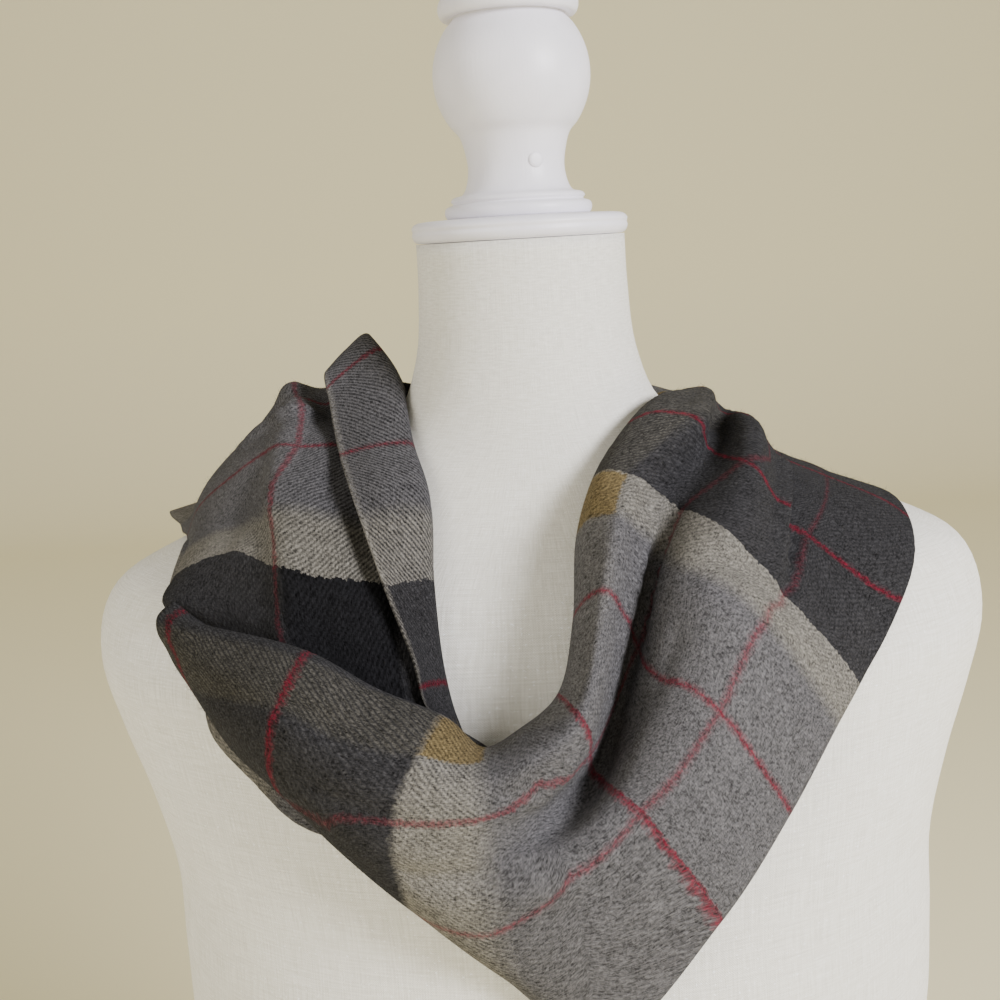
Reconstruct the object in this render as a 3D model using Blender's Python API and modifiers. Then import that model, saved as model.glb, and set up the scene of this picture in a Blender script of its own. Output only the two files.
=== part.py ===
"""A plaid wool scarf worn as a loose cowl on a limbless dress form.

The form is a smooth covered torso on a flat board, with a turned wooden cap and finial on its
neck. The scarf is one long cloth that goes round the neck once. It is modelled as a lattice: the
rows are stations along the cloth and the columns are its fold lines, and a smooth surface runs
through them. Sizes are in millimetres, +X to the right of someone who faces the form, -Y to that
person, +Z up, with the origin under the middle of the board.
"""
import math

import bpy
import numpy as np
from mathutils import Vector
from mathutils.bvhtree import BVHTree

MM = 0.001
GAP = 0.3

# The form
BOARD_THICKNESS = 15.0
BOARD_BEVEL = 2.0
BOARD_MARGIN = 3.0
NECK_TOP = 700.0
TORSO_FOOT = BOARD_THICKNESS + GAP
TORSO_RINGS = 34
TORSO_SIDES = 36

# The torso's level sections: height, half width, depth to the front, depth to the back and
# squareness, where 2 is an ellipse
TORSO_SECTIONS = (
    (TORSO_FOOT, 160, 112, 112, 2.3),
    (70, 170, 120, 120, 2.3),
    (140, 160, 114, 112, 2.3),
    (215, 140, 98, 88, 2.2),
    (290, 156, 110, 92, 2.2),
    (350, 170, 124, 102, 2.2),
    (400, 171, 126, 106, 2.2),
    (440, 171, 121, 108, 2.2),
    (475, 179, 113, 108, 2.2),
    (505, 190, 105, 106, 2.1),
    (530, 196, 97, 101, 2.1),
    (550, 194, 87, 95, 2.0),
    (564, 185, 79, 89, 2.0),
    (576, 163, 72, 84, 2.0),
    (590, 128, 66, 76, 2.0),
    (608, 92, 58.5, 66, 2.0),
    (628, 58, 51.5, 56, 2.0),
    (652, 47.5, 47, 48.5, 2.0),
    (680, 44.5, 44.5, 44.5, 2.0),
    (NECK_TOP, 44, 44, 44, 2.0),
)

# The turned wood: radius and height, from the top of the outer side down to the bottom
CAP_PROFILE = (
    (0, 709.0), (40, 709.0), (44, 708.2), (45.5, 706.4), (45.2, 704.9), (45.5, 703.4),
    (44.6, 701.2), (43, 700.3), (0, 700.3),
)
FINIAL_FOOT = 709.0 + GAP
BALL_RADIUS = 32.5
BALL_CENTRE = 765.5
FINIAL_TOP = (
    (0, 815), (8, 814.2), (15, 811.5), (20, 807), (22, 801.5), (20.5, 798.5), (27, 796.5),
    (28.8, 792.5), (27.4, 788.6), (25.2, 786.8),
)
FINIAL_STEM = (
    (20.8, 735), (20.2, 729), (21.2, 723), (23.2, 719.2), (27.2, 718), (28.2, 716.6),
    (27.4, 715.4), (30.4, 714), (31, 712), (30.4, 710), (29.5, FINIAL_FOOT), (0, FINIAL_FOOT),
)
TURNED_STEPS = 28

# The cloth
CLOTH_THICKNESS = 1.6
ON_FORM = CLOTH_THICKNESS / 2 + 0.7
OVER_TAIL = ON_FORM + CLOTH_THICKNESS + 1.2
ACROSS_STEPS = (2, 3, 3, 3, 3, 3, 2, 2)
ALONG_STEPS = 3
TAIL_ACROSS_STEPS = (4, 4)
LAPEL_ACROSS_STEPS = (3, 3, 2)
GATHER_HEIGHT = 3.0
GATHER_COUNT = 3
GATHER_PLACE = 0.35
CLEARING_PASSES = 2
TORSO_SAMPLES = 8  # between two level sections, before the rings are spaced evenly

WOOL_ROUGHNESS = 0.95
WOOLS = (
    ("mid-grey wool", (0.19, 0.19, 0.19)),
    ("charcoal wool", (0.06, 0.06, 0.065)),
    ("pale wool", (0.36, 0.34, 0.30)),
)

# One row for each station along the cloth, from the left shoulder's tip down to the V, up over the
# right shoulder, round the back and down behind the front roll: its name, its least distance from
# the form, and where each fold line passes. The lines, from the edge at the neck to the outer one,
# are neck_edge, crest, roll, valley, ridge, dip, panel, hem and outer_edge.
STATIONS = (
    ("left_tip", OVER_TAIL,
     (-145, -67, 569), (-150, -72, 565), (-149, -78, 561), (-145, -82, 555), (-142, -84, 549),
     (-138, -84, 541), (-135, -83, 534), (-131, -81, 527), (-129, -75, 527)),
    ("left_end", OVER_TAIL,
     (-127, -86, 563), (-129, -92, 566), (-129, -102, 560), (-127, -107, 553), (-126, -108, 545),
     (-125, -107, 538), (-123, -103, 529), (-120, -97, 519), (-116, -90, 520)),
    ("left_red_line", OVER_TAIL,
     (-84, -110, 556), (-86, -118, 562), (-90, -132, 558), (-94, -137, 551), (-97, -138, 543),
     (-99, -136, 534), (-100, -131, 523), (-98, -122, 511), (-94, -112, 511)),
    ("left_middle", OVER_TAIL,
     (-60, -118, 544), (-63, -126, 550), (-69, -143, 546), (-75, -148, 537), (-78, -148, 526),
     (-80, -145, 515), (-79, -140, 504), (-76, -130, 490), (-72, -119, 489)),
    ("dark_boundary", OVER_TAIL,
     (-38, -119, 533), (-40, -128, 539), (-48, -146, 533), (-54, -152, 523), (-57, -152, 510),
     (-58, -149, 497), (-57, -144, 484), (-54, -134, 470), (-50, -123, 470)),
    ("vee_left", OVER_TAIL,
     (-24, -112, 517), (-26, -120, 523), (-28, -144, 523), (-29, -147, 510), (-29, -147, 496),
     (-28, -147, 482), (-27, -145, 466), (-23, -139, 446), (-18, -130, 433)),
    ("vee_right", OVER_TAIL,
     (-12, -109, 521), (-12, -116, 528), (-9, -144, 528), (-7, -133, 503), (-2, -142, 494),
     (2, -144, 482), (4, -144, 465), (7, -140, 440), (10, -134, 412)),
    ("red_line_two", ON_FORM,
     (4, -104, 530), (2, -111, 538), (8, -138, 540), (14, -112, 508), (21, -134, 509),
     (28, -139, 504), (36, -141, 492), (47, -138, 474), (55, -133, 458)),
    ("red_line_one", ON_FORM,
     (14, -89, 552), (10, -92, 559), (20, -113, 577), (32, -91, 551), (37, -116, 545),
     (48, -124, 543), (58, -126, 533), (74, -122, 508), (84, -117, 490)),
    ("pale_band_low", ON_FORM,
     (18, -73, 580), (14, -75, 588), (28, -95, 600), (42, -75, 581), (50, -98, 580),
     (61, -107, 576), (77, -109, 561), (96, -105, 533), (106, -100, 516)),
    ("pale_band_top", ON_FORM,
     (27, -63, 600), (22, -67, 608), (36, -77, 610), (49, -62, 597), (67, -90, 591),
     (86, -92, 568), (99, -91, 552), (111, -88, 537), (119, -84, 525)),
    ("dark_red_line", ON_FORM,
     (43, -53, 616), (37, -53, 625), (62, -45, 627), (73, -36, 611), (85, -63, 606),
     (99, -54, 585), (113, -59, 572), (129, -62, 558), (142, -60, 549)),
    ("neck_corner", ON_FORM,
     (58, -31, 624), (52, -33, 633), (69, -22, 630), (79, -17, 618), (90, -43, 613),
     (105, -32, 591), (121, -35, 581), (139, -40, 569), (151, -43, 562)),
    ("right_top", ON_FORM,
     (68, -1, 622), (64, -3, 630), (75, 2, 631), (85, 0, 623), (93, -22, 618),
     (111, -12, 596), (128, -12, 590), (147, -18, 580), (157, -27, 575)),
    ("right_back", ON_FORM,
     (63, 41, 616), (60, 36, 624), (72, 42, 625), (84, 44, 616), (94, 40, 610),
     (107, 40, 595), (121, 49, 590), (134, 53, 579), (142, 57, 567)),
    ("back_right", ON_FORM,
     (36, 57, 619), (34, 55, 627), (46, 66, 630), (54, 77, 619), (65, 86, 612),
     (72, 90, 598), (81, 93, 584), (91, 95, 568), (98, 94, 552)),
    ("back_middle", ON_FORM,
     (-2, 65, 622), (-2, 68, 631), (-1, 80, 635), (0, 91, 624), (1, 102, 614),
     (2, 106, 598), (3, 108, 582), (4, 110, 564), (5, 109, 546)),
    ("back_left", ON_FORM,
     (-38, 52, 622), (-39, 55, 631), (-50, 67, 633), (-60, 76, 624), (-70, 84, 616),
     (-79, 88, 601), (-88, 91, 586), (-99, 92, 570), (-107, 91, 555)),
    ("left_turn", ON_FORM,
     (-58, 37, 631), (-61, 39, 638), (-73, 46, 635), (-86, 48, 631), (-96, 54, 624),
     (-106, 56, 609), (-120, 56, 598), (-139, 54, 589), (-172, 43, 582)),
    ("left_rise", ON_FORM,
     (-67, 31, 636), (-70, 33, 640), (-77, 37, 641), (-90, 34, 637), (-101, 41, 633),
     (-110, 41, 621), (-122, 39, 609), (-139, 32, 597), (-163, 22, 580)),
    ("left_peak", ON_FORM,
     (-74, 20, 646), (-77, 20, 646), (-81, 19, 644), (-91, 16, 638), (-106, 22, 641),
     (-115, 22, 631), (-126, 17, 618), (-139, 6, 604), (-156, 0, 581)),
    ("lapel_line_one", ON_FORM,
     (-65, 2, 642), (-68, 2, 638), (-72, 3, 634), (-86, -4, 629), (-98, -10, 632),
     (-113, -3, 627), (-128, -4, 617), (-141, -8, 604), (-153, -8, 583)),
    ("lapel_line_two", ON_FORM,
     (-54, -41, 619), (-57, -40, 618), (-61, -38, 617), (-77, -33, 622), (-95, -36, 622),
     (-112, -29, 619), (-126, -27, 610), (-142, -21, 597), (-150, -16, 583)),
    ("left_pale_band", OVER_TAIL,
     (-50, -58, 604), (-54, -57, 603), (-59, -56, 602), (-74, -55, 603), (-94, -58, 608),
     (-110, -50, 603), (-124, -47, 597), (-142, -38, 587), (-148, -26, 579)),
    ("left_dark_boundary", OVER_TAIL,
     (-48, -79, 573), (-51, -79, 573), (-56, -80, 574), (-66, -84, 578), (-84, -88, 581),
     (-102, -80, 584), (-120, -67, 588), (-145, -55, 577), (-151, -45, 570)),
    ("pocket", OVER_TAIL,
     (-45, -94, 551), (-47, -95, 552), (-51, -96, 553), (-62, -98, 555), (-81, -98, 558),
     (-101, -92, 564), (-123, -76, 571), (-150, -61, 568), (-152, -52, 564)),
    ("hidden_end", OVER_TAIL,
     (-38, -102, 527), (-41, -103, 529), (-46, -104, 532), (-57, -106, 536), (-77, -105, 544),
     (-97, -99, 552), (-118, -83, 558), (-140, -66, 558), (-144, -57, 557)),
)

# The stretches that show, each from its first station to its last
STRETCHES = (
    ("scarf_front", "left_tip", "pale_band_top", "mid-grey wool"),
    ("scarf_right_shoulder", "pale_band_top", "right_back", "charcoal wool"),
    ("scarf_back", "right_back", "left_turn", "mid-grey wool"),
    ("scarf_left_shoulder", "left_turn", "hidden_end", "mid-grey wool"),
)
GATHERED = ("right_back", "left_turn")

# The neck edge of the left stretch, turned over outward: its selvedge, its middle, the fold, and
# the little that shows behind the fold
LAPEL_STATIONS = (
    ("behind_peak", (-74, 33, 650), (-70, 32, 654), (-65, 31, 653), (-62, 31, 647)),
    ("peak", (-87, 0, 648), (-79, 12, 656), (-70, 22, 662), (-67, 24, 656)),
    ("line_one", (-84, -18, 637), (-72, -9, 644), (-58, 0, 648), (-55, 3, 642)),
    ("line_two", (-78, -46, 620), (-64, -47, 623), (-49, -44, 622), (-50, -42, 616)),
    ("pale_band", (-72, -65, 606), (-58, -65, 609), (-44, -61, 607), (-43, -59, 601)),
    ("dark_boundary", (-60, -91, 577), (-52, -87, 577), (-43, -80, 575), (-43, -77, 569)),
    ("pocket", (-50, -103, 551), (-46, -99, 551), (-41, -93, 550), (-41, -90, 545)),
    ("hidden_end", (-47, -108, 537), (-43, -107, 537), (-38, -104, 535), (-37, -102, 531)),
    ("tip", (-41, -109, 528), (-39, -108, 527), (-35, -106, 525), (-34, -104, 522)),
)

# The inner end under the front roll: stations from the shoulder to the point of the V, with the
# places of its upper edge, middle and lower edge. It is laid on the form.
TAIL_STATIONS = (
    ("shoulder", (-112, -62, 582), (-124, -64, 566), (-133, -67, 548)),
    ("corner", (-104, -74, 571), (-120, -78, 544), (-134, -79, 518)),
    ("pale_strip", (-88, -84, 560), (-103, -90, 530), (-118, -95, 501)),
    ("frayed_corner", (-72, -92, 548), (-88, -98, 518), (-103, -103, 489)),
    ("middle", (-52, -100, 534), (-64, -107, 506), (-75, -112, 480)),
    ("vee", (-30, -104, 520), (-38, -112, 490), (-47, -118, 462)),
    ("end", (-16, -106, 510), (-20, -116, 475), (-26, -126, 440)),
)


def new_collection(name):
    """Add a collection to the scene."""
    collection = bpy.data.collections.new(name)
    bpy.context.scene.collection.children.link(collection)
    return collection


def clear_scene():
    """Remove the objects that a new file starts with."""
    for obj in list(bpy.data.objects):
        bpy.data.objects.remove(obj, do_unlink=True)


def make_material(name, colour, roughness):
    """A plain Principled material."""
    material = bpy.data.materials.new(name)
    material.use_nodes = True
    shader = material.node_tree.nodes["Principled BSDF"]
    shader.inputs["Base Color"].default_value = (*colour, 1)
    shader.inputs["Roughness"].default_value = roughness
    return material


def add_mesh(name, points, faces, collection, material):
    """One object from points in millimetres and their faces."""
    mesh = bpy.data.meshes.new(name)
    mesh.from_pydata([tuple(float(c) * MM for c in point) for point in points], [], faces)
    mesh.shade_smooth()
    mesh.materials.append(material)
    obj = bpy.data.objects.new(name, mesh)
    collection.objects.link(obj)
    return obj


def through_points(points, steps):
    """A smooth curve through the rows of an array, with steps[i] samples for its span i.

    It is a centripetal spline: a point's slope leans to its nearer neighbour, so that unequal
    spans make no loops.
    """
    points = np.asarray(points, float)
    padded = np.concatenate([2 * points[:1] - points[1:2], points, 2 * points[-1:] - points[-2:-1]])
    lengths = np.linalg.norm(np.diff(padded, axis=0), axis=-1, keepdims=True)
    spans = np.sqrt(np.maximum(lengths, 1e-6))
    samples = []
    for i in range(len(points) - 1):
        a, b, c, d = padded[i:i + 4]
        before, here, after = spans[i:i + 3]
        leaving = here * ((b - a) / before - (c - a) / (before + here)) + (c - b)
        arriving = here * ((d - c) / after - (d - b) / (here + after)) + (c - b)
        for step in range(steps[i]):
            t = step / steps[i]
            samples.append((2 * t ** 3 - 3 * t ** 2 + 1) * b + (t ** 3 - 2 * t ** 2 + t) * leaving
                           + (3 * t ** 2 - 2 * t ** 3) * c + (t ** 3 - t ** 2) * arriving)
    samples.append(points[-1])
    return np.array(samples)


def torso_section(row, sides):
    """The points of one level section, a rounded outline that differs front and back."""
    height, half_width, front, back, squareness = row
    ring = []
    for side in range(sides):
        angle = 2 * math.pi * side / sides
        across = math.cos(angle)
        ahead = math.sin(angle)
        x = half_width * math.copysign(abs(across) ** (2 / squareness), across)
        depth = back if ahead > 0 else front
        y = depth * math.copysign(abs(ahead) ** (2 / squareness), ahead)
        ring.append((x, y, height))
    return ring


def build_torso(collection):
    """The covered torso: a loft through its level sections."""
    table = np.array(TORSO_SECTIONS, float)
    smooth = through_points(table, [TORSO_SAMPLES] * (len(table) - 1))
    arc = np.concatenate([[0], np.cumsum(np.hypot(np.diff(smooth[:, 0]), np.diff(smooth[:, 1])))])
    places = np.linspace(0, arc[-1], TORSO_RINGS)
    rows = [[np.interp(place, arc, smooth[:, column]) for column in range(5)] for place in places]
    points = [point for row in rows for point in torso_section(row, TORSO_SIDES)]
    faces = [tuple(reversed(range(TORSO_SIDES)))]
    for ring in range(TORSO_RINGS - 1):
        for side in range(TORSO_SIDES):
            near = ring * TORSO_SIDES + side
            following = ring * TORSO_SIDES + (side + 1) % TORSO_SIDES
            faces.append((near, following, following + TORSO_SIDES, near + TORSO_SIDES))
    faces.append(tuple(range((TORSO_RINGS - 1) * TORSO_SIDES, TORSO_RINGS * TORSO_SIDES)))
    linen = make_material("off-white linen weave", (0.78, 0.77, 0.72), 0.85)
    return add_mesh("form_torso", points, faces, collection, linen)


def build_board(collection, wood):
    """The flat board that the torso stands on, a little wider than the torso's foot."""
    _, half_width, front, back, squareness = TORSO_SECTIONS[0]
    row = (0, half_width + BOARD_MARGIN, front + BOARD_MARGIN, back + BOARD_MARGIN, squareness)
    outline = torso_section(row, TORSO_SIDES)
    curve = bpy.data.curves.new("base_board", "CURVE")
    curve.dimensions = "2D"
    curve.fill_mode = "BOTH"
    curve.extrude = (BOARD_THICKNESS / 2 - BOARD_BEVEL) * MM
    curve.bevel_depth = BOARD_BEVEL * MM
    curve.bevel_resolution = 1
    spline = curve.splines.new("POLY")
    spline.points.add(len(outline) - 1)
    for place, (x, y, _) in zip(spline.points, outline):
        inward = 1 - BOARD_BEVEL / half_width
        place.co = (x * inward * MM, y * inward * MM, 0, 1)
    spline.use_cyclic_u = True
    curve.materials.append(wood)
    board = bpy.data.objects.new("base_board", curve)
    board.location.z = BOARD_THICKNESS / 2 * MM
    collection.objects.link(board)


def build_turned(name, profile, collection, wood):
    """A turned wooden piece: its profile swept round the axis."""
    points = [(radius, 0, height) for radius, height in profile]
    edges = [(i, i + 1) for i in range(len(points) - 1)]
    mesh = bpy.data.meshes.new(name)
    mesh.from_pydata([tuple(c * MM for c in point) for point in points], edges, [])
    mesh.materials.append(wood)
    obj = bpy.data.objects.new(name, mesh)
    collection.objects.link(obj)
    screw = obj.modifiers.new("turn", "SCREW")
    screw.steps = TURNED_STEPS
    screw.render_steps = TURNED_STEPS
    screw.use_merge_vertices = True
    screw.merge_threshold = 0.00005
    screw.use_smooth_shade = True
    return obj


def finial_profile():
    """The finial from its top, over the ball, down to its foot."""
    ball = []
    for degrees in range(45, -50, -9):
        angle = math.radians(degrees)
        height = BALL_CENTRE + BALL_RADIUS * math.sin(angle)
        ball.append((BALL_RADIUS * math.cos(angle), height))
    return FINIAL_TOP[:-1] + tuple(ball) + FINIAL_STEM


def body_tree(obj):
    """A search tree over an object's faces, in metres."""
    obj.data.calc_loop_triangles()
    corners = [obj.matrix_world @ vertex.co for vertex in obj.data.vertices]
    triangles = [tuple(triangle.vertices) for triangle in obj.data.loop_triangles]
    return BVHTree.FromPolygons(corners, triangles)


def push_out(place, room, tree):
    """How far a place must move, in millimetres, to lie room millimetres outside a body."""
    nearest, normal, _, distance = tree.find_nearest(Vector(place * MM))
    outside = (Vector(place * MM) - nearest).dot(normal) > 0
    depth = distance / MM if outside else -distance / MM
    return np.array(normal) * max(0.0, room - depth)


def keep_clear(grid, room, tree):
    """Move a grid out of a body, until its points and the middles of its faces are clear."""
    rows, columns = grid.shape[:2]
    for i in range(rows):
        for j in range(columns):
            grid[i, j] += push_out(grid[i, j], room[i], tree)
    for _ in range(CLEARING_PASSES):
        for i in range(rows - 1):
            for j in range(columns - 1):
                corners = grid[i:i + 2, j:j + 2]
                corners += push_out(corners.mean(axis=(0, 1)), room[i], tree)
    return grid


def lay_on(grid, room, tree):
    """Lay a grid on a body, room millimetres from its skin."""
    for i in range(grid.shape[0]):
        for j in range(grid.shape[1]):
            nearest, normal, _, _ = tree.find_nearest(Vector(grid[i, j] * MM))
            grid[i, j] = np.array(nearest) / MM + np.array(normal) * room
    return grid


def row_of(station_name):
    """The grid row of a named station."""
    names = [station[0] for station in STATIONS]
    return names.index(station_name) * ALONG_STEPS


def gather(grid, first, last):
    """Stand the neck side of the back stretch in soft gathers, deepest in the middle."""
    columns = grid.shape[1]
    for i in range(first, last + 1):
        share = (i - first) / (last - first)
        wave = math.sin(math.pi * share) * math.sin(2 * math.pi * GATHER_COUNT * share)
        for j in range(columns):
            depth = max(0.0, 1 - abs(j / columns - GATHER_PLACE) / GATHER_PLACE)
            outward = unit(grid[i, j] * (1, 1, 0))
            grid[i, j] += outward * GATHER_HEIGHT * depth * wave
    return grid


def unit(vector):
    """A vector's direction, with length one."""
    return vector / np.linalg.norm(vector)


def cloth_grid(tree):
    """The middle surface of the whole cloth, clear of the form."""
    along = [ALONG_STEPS] * (len(STATIONS) - 1)
    lattice = np.array([station[2:] for station in STATIONS], float)
    room = through_points([[station[1]] for station in STATIONS], along)[:, 0]
    grid = through_points(lattice, along)
    grid = through_points(grid.transpose(1, 0, 2), ACROSS_STEPS).transpose(1, 0, 2)
    grid = gather(grid, row_of(GATHERED[0]), row_of(GATHERED[1]))
    return keep_clear(grid, room, tree)


def strip_grid(stations, across_steps):
    """The middle surface of a strip that lies apart from the main grid."""
    lattice = np.array([station[1:] for station in stations], float)
    grid = through_points(lattice, [ALONG_STEPS] * (len(stations) - 1))
    return through_points(grid.transpose(1, 0, 2), across_steps).transpose(1, 0, 2)


def directions(grid):
    """The way each row of a grid runs on to the next: halfway between its two neighbours' ways."""
    steps = np.diff(grid, axis=0)
    steps /= np.linalg.norm(steps, axis=2, keepdims=True)
    return np.concatenate([steps[:1], steps[:-1] + steps[1:], steps[-1:]])


def wall_layers(grid):
    """The two skins of the cloth, half its thickness to each side of the middle surface."""
    along = directions(grid)
    across = directions(grid.transpose(1, 0, 2)).transpose(1, 0, 2)
    normals = np.cross(across, along)
    normals /= np.linalg.norm(normals, axis=2, keepdims=True)
    return grid + normals * CLOTH_THICKNESS / 2, grid - normals * CLOTH_THICKNESS / 2


def part_rows(skins, middle):
    """Draw a stretch's end rows in by half a gap, so that neighbouring stretches stay apart."""
    for end, inner in ((0, 1), (-1, -2)):
        inward = middle[inner] - middle[end]
        inward /= np.linalg.norm(inward, axis=1, keepdims=True)
        for skin in skins:
            skin[end] += inward * GAP / 2
    return skins


def build_sheet(name, upper, under, collection, material):
    """A wall of cloth between its two skins.

    A face starts at the corner that its diagonal leaves from: the same one on both skins, and the
    same one on both sides of a seam. Twisted faces stay apart that way.
    """
    rows, columns = upper.shape[:2]
    below = rows * columns
    faces = []
    for i in range(rows - 1):
        for j in range(columns - 1):
            a = i * columns + j
            b, c, d = a + 1, a + columns + 1, a + columns
            faces += [(a, b, c, d), (below + c, below + b, below + a, below + d)]
    border = ([j for j in range(columns)] + [i * columns + columns - 1 for i in range(1, rows)]
              + [(rows - 1) * columns + j for j in range(columns - 2, -1, -1)]
              + [i * columns for i in range(rows - 2, 0, -1)])
    for near, following in zip(border, border[1:] + border[:1]):
        wall = (following, near, below + near, below + following)
        if near < following:
            wall = wall[1:] + wall[:1]
        faces += [wall[:3], (wall[0], *wall[2:])]
    points = np.concatenate([upper.reshape(-1, 3), under.reshape(-1, 3)])
    return add_mesh(name, points, faces, collection, material)


def build_scarf(collection, torso):
    """The stretches of the scarf."""
    tree = body_tree(torso)
    wools = {name: make_material(name, colour, WOOL_ROUGHNESS) for name, colour in WOOLS}
    middle = cloth_grid(tree)
    skins = wall_layers(middle)
    for name, first, last, wool in STRETCHES:
        rows = slice(row_of(first), row_of(last) + 1)
        upper, under = part_rows([skin[rows].copy() for skin in skins], middle[rows])
        build_sheet(name, upper, under, collection, wools[wool])
    lapel = strip_grid(LAPEL_STATIONS, LAPEL_ACROSS_STEPS)
    lapel = keep_clear(lapel, [ON_FORM] * len(lapel), tree)
    build_sheet("scarf_left_lapel", *wall_layers(lapel), collection, wools["mid-grey wool"])
    tail = lay_on(strip_grid(TAIL_STATIONS, TAIL_ACROSS_STEPS), ON_FORM, tree)
    tail = keep_clear(tail, [ON_FORM] * len(tail), tree)
    build_sheet("scarf_tail", *wall_layers(tail), collection, wools["pale wool"])


def main():
    clear_scene()
    collection = new_collection("plaid scarf on a dress form")
    wood = make_material("white painted wood", (0.83, 0.83, 0.85), 0.45)
    torso = build_torso(collection)
    build_board(collection, wood)
    build_turned("neck_cap", CAP_PROFILE, collection, wood)
    build_turned("finial", finial_profile(), collection, wood)
    build_scarf(collection, torso)


main()
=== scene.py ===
# %% [markdown]
# # A plaid scarf on a dress form
#
# The object is a woven wool scarf, worn as a loose cowl on a limbless dress form. The CAD part
# already fixes every size, so this lesson starts from it and dresses it: it lays fine cloth on
# the solids, weaves the check into it, brushes it, and covers the form in linen.
#
# The first cell loads the imported part as a frame that doesn't move. Nothing that is added may
# make the object larger.

# %% Load the frame
import math

import bpy
import numpy as np
from mathutils import Matrix, Vector
from mathutils.bvhtree import BVHTree


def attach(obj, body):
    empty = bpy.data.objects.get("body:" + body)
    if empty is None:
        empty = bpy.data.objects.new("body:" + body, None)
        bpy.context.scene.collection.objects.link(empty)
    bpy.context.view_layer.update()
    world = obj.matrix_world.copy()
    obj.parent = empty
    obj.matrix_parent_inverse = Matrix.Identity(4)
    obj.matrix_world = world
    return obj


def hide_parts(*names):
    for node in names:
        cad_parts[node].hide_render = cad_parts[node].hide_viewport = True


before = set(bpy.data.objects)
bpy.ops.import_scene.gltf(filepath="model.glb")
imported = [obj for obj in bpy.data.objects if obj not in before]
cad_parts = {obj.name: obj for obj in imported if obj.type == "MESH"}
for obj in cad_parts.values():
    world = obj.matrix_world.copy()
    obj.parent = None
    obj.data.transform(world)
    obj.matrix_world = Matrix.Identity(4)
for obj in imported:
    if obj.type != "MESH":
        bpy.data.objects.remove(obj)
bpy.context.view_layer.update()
MM = 0.001
print("nodes:", sorted(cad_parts))

# %% [markdown]
# ## The camera
#
# The camera looks a little down on the chest from half a metre away, through a lens of normal
# length. So near, it makes the front roll of the cloth look large against the shoulders, and its
# distance matters more than its angle. The slight roll is that of a camera held in the hand.

# %% Camera
CAMERA_PLACE = (-0.015, -0.52, 0.700)
CAMERA_DOWN = 12.2
CAMERA_ROLL = -3.4
LENS_LENGTH = 43.2
SENSOR_WIDTH = 36
NEAREST_SEEN = 0.02

lens = bpy.data.cameras.new("camera")
lens.lens = LENS_LENGTH
lens.sensor_width = SENSOR_WIDTH
lens.clip_start = NEAREST_SEEN
camera = bpy.data.objects.new("camera", lens)
bpy.context.scene.collection.objects.link(camera)
camera.matrix_world = (Matrix.Translation(CAMERA_PLACE)
                       @ Matrix.Rotation(math.radians(90 - CAMERA_DOWN), 4, "X")
                       @ Matrix.Rotation(math.radians(CAMERA_ROLL), 4, "Z"))
bpy.context.scene.camera = camera
print("camera looks down by", CAMERA_DOWN, "degrees")

# %% [markdown]
# ## Small helpers
#
# Colours are written as the hex values that a colour chart gives. Blender works in linear light,
# so one function turns them. A second adds a node to a tree with its settings and its inputs,
# in order or by name, each a value, another node's socket or another node, which stands for its
# first socket. The last two start a material and put a new object in the scene.

# %% Helpers
MATH = "ShaderNodeMath"
NOISE = "ShaderNodeTexNoise"
MIX = "ShaderNodeMix"


def linear(hex_colour):
    """Blender's linear colour for an sRGB hex value."""
    channels = [int(hex_colour[i:i + 2], 16) / 255 for i in (1, 3, 5)]
    return tuple(c / 12.92 if c <= 0.04045 else ((c + 0.055) / 1.055) ** 2.4 for c in channels) + (1,)


def add_node(tree, kind, inputs=(), **settings):
    """A node with its settings; its inputs, in order or by name, are values or what feeds them."""
    node = tree.nodes.new(kind)
    for name, value in settings.items():
        setattr(node, name, value)
    for name, value in inputs.items() if isinstance(inputs, dict) else enumerate(inputs):
        source = value.outputs[0] if isinstance(value, bpy.types.Node) else value
        if isinstance(source, bpy.types.NodeSocket):
            tree.links.new(source, node.inputs[name])
        else:
            node.inputs[name].default_value = source
    return node


def new_material(name):
    """An empty material, its tree and its shader."""
    material = bpy.data.materials.new(name)
    material.use_nodes = True
    return material, material.node_tree, material.node_tree.nodes["Principled BSDF"]


def into_scene(name, data):
    """A new object in the scene."""
    obj = bpy.data.objects.new(name, data)
    bpy.context.scene.collection.objects.link(obj)
    return obj


print("mid grey, linear:", [round(c, 3) for c in linear("#808080")])

# %% [markdown]
# ## Curves through a few points
#
# A table gives a few points, and the surface needs hundreds. A centripetal spline
# passes through the points without loops, even where they are unevenly spaced, which is why it
# is used here and not a plain cubic. Run along the rows of a table and then along its columns,
# it turns a small lattice into a smooth sheet.

# %% Splines
def through_points(points, steps):
    """A smooth curve through the rows of an array, with steps[i] samples for its span i."""
    points = np.asarray(points, float)
    padded = np.concatenate([2 * points[:1] - points[1:2], points, 2 * points[-1:] - points[-2:-1]])
    lengths = np.linalg.norm(np.diff(padded, axis=0), axis=-1, keepdims=True)
    spans = np.sqrt(np.maximum(lengths, 1e-6))
    samples = []
    for i in range(len(points) - 1):
        a, b, c, d = padded[i:i + 4]
        before, here, after = spans[i:i + 3]
        leaving = here * ((b - a) / before - (c - a) / (before + here)) + (c - b)
        arriving = here * ((d - c) / after - (d - b) / (here + after)) + (c - b)
        for step in range(steps[i]):
            t = step / steps[i]
            samples.append((2 * t ** 3 - 3 * t ** 2 + 1) * b + (t ** 3 - 2 * t ** 2 + t) * leaving
                           + (3 * t ** 2 - 2 * t ** 3) * c + (t ** 3 - t ** 2) * arriving)
    samples.append(points[-1])
    return np.array(samples)


def smooth_sheet(lattice, along, across_steps):
    """A fine grid of points through a lattice of stations and fold lines."""
    rows = through_points(lattice, [along] * (len(lattice) - 1))
    return through_points(rows.transpose(1, 0, 2), across_steps).transpose(1, 0, 2)


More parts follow.
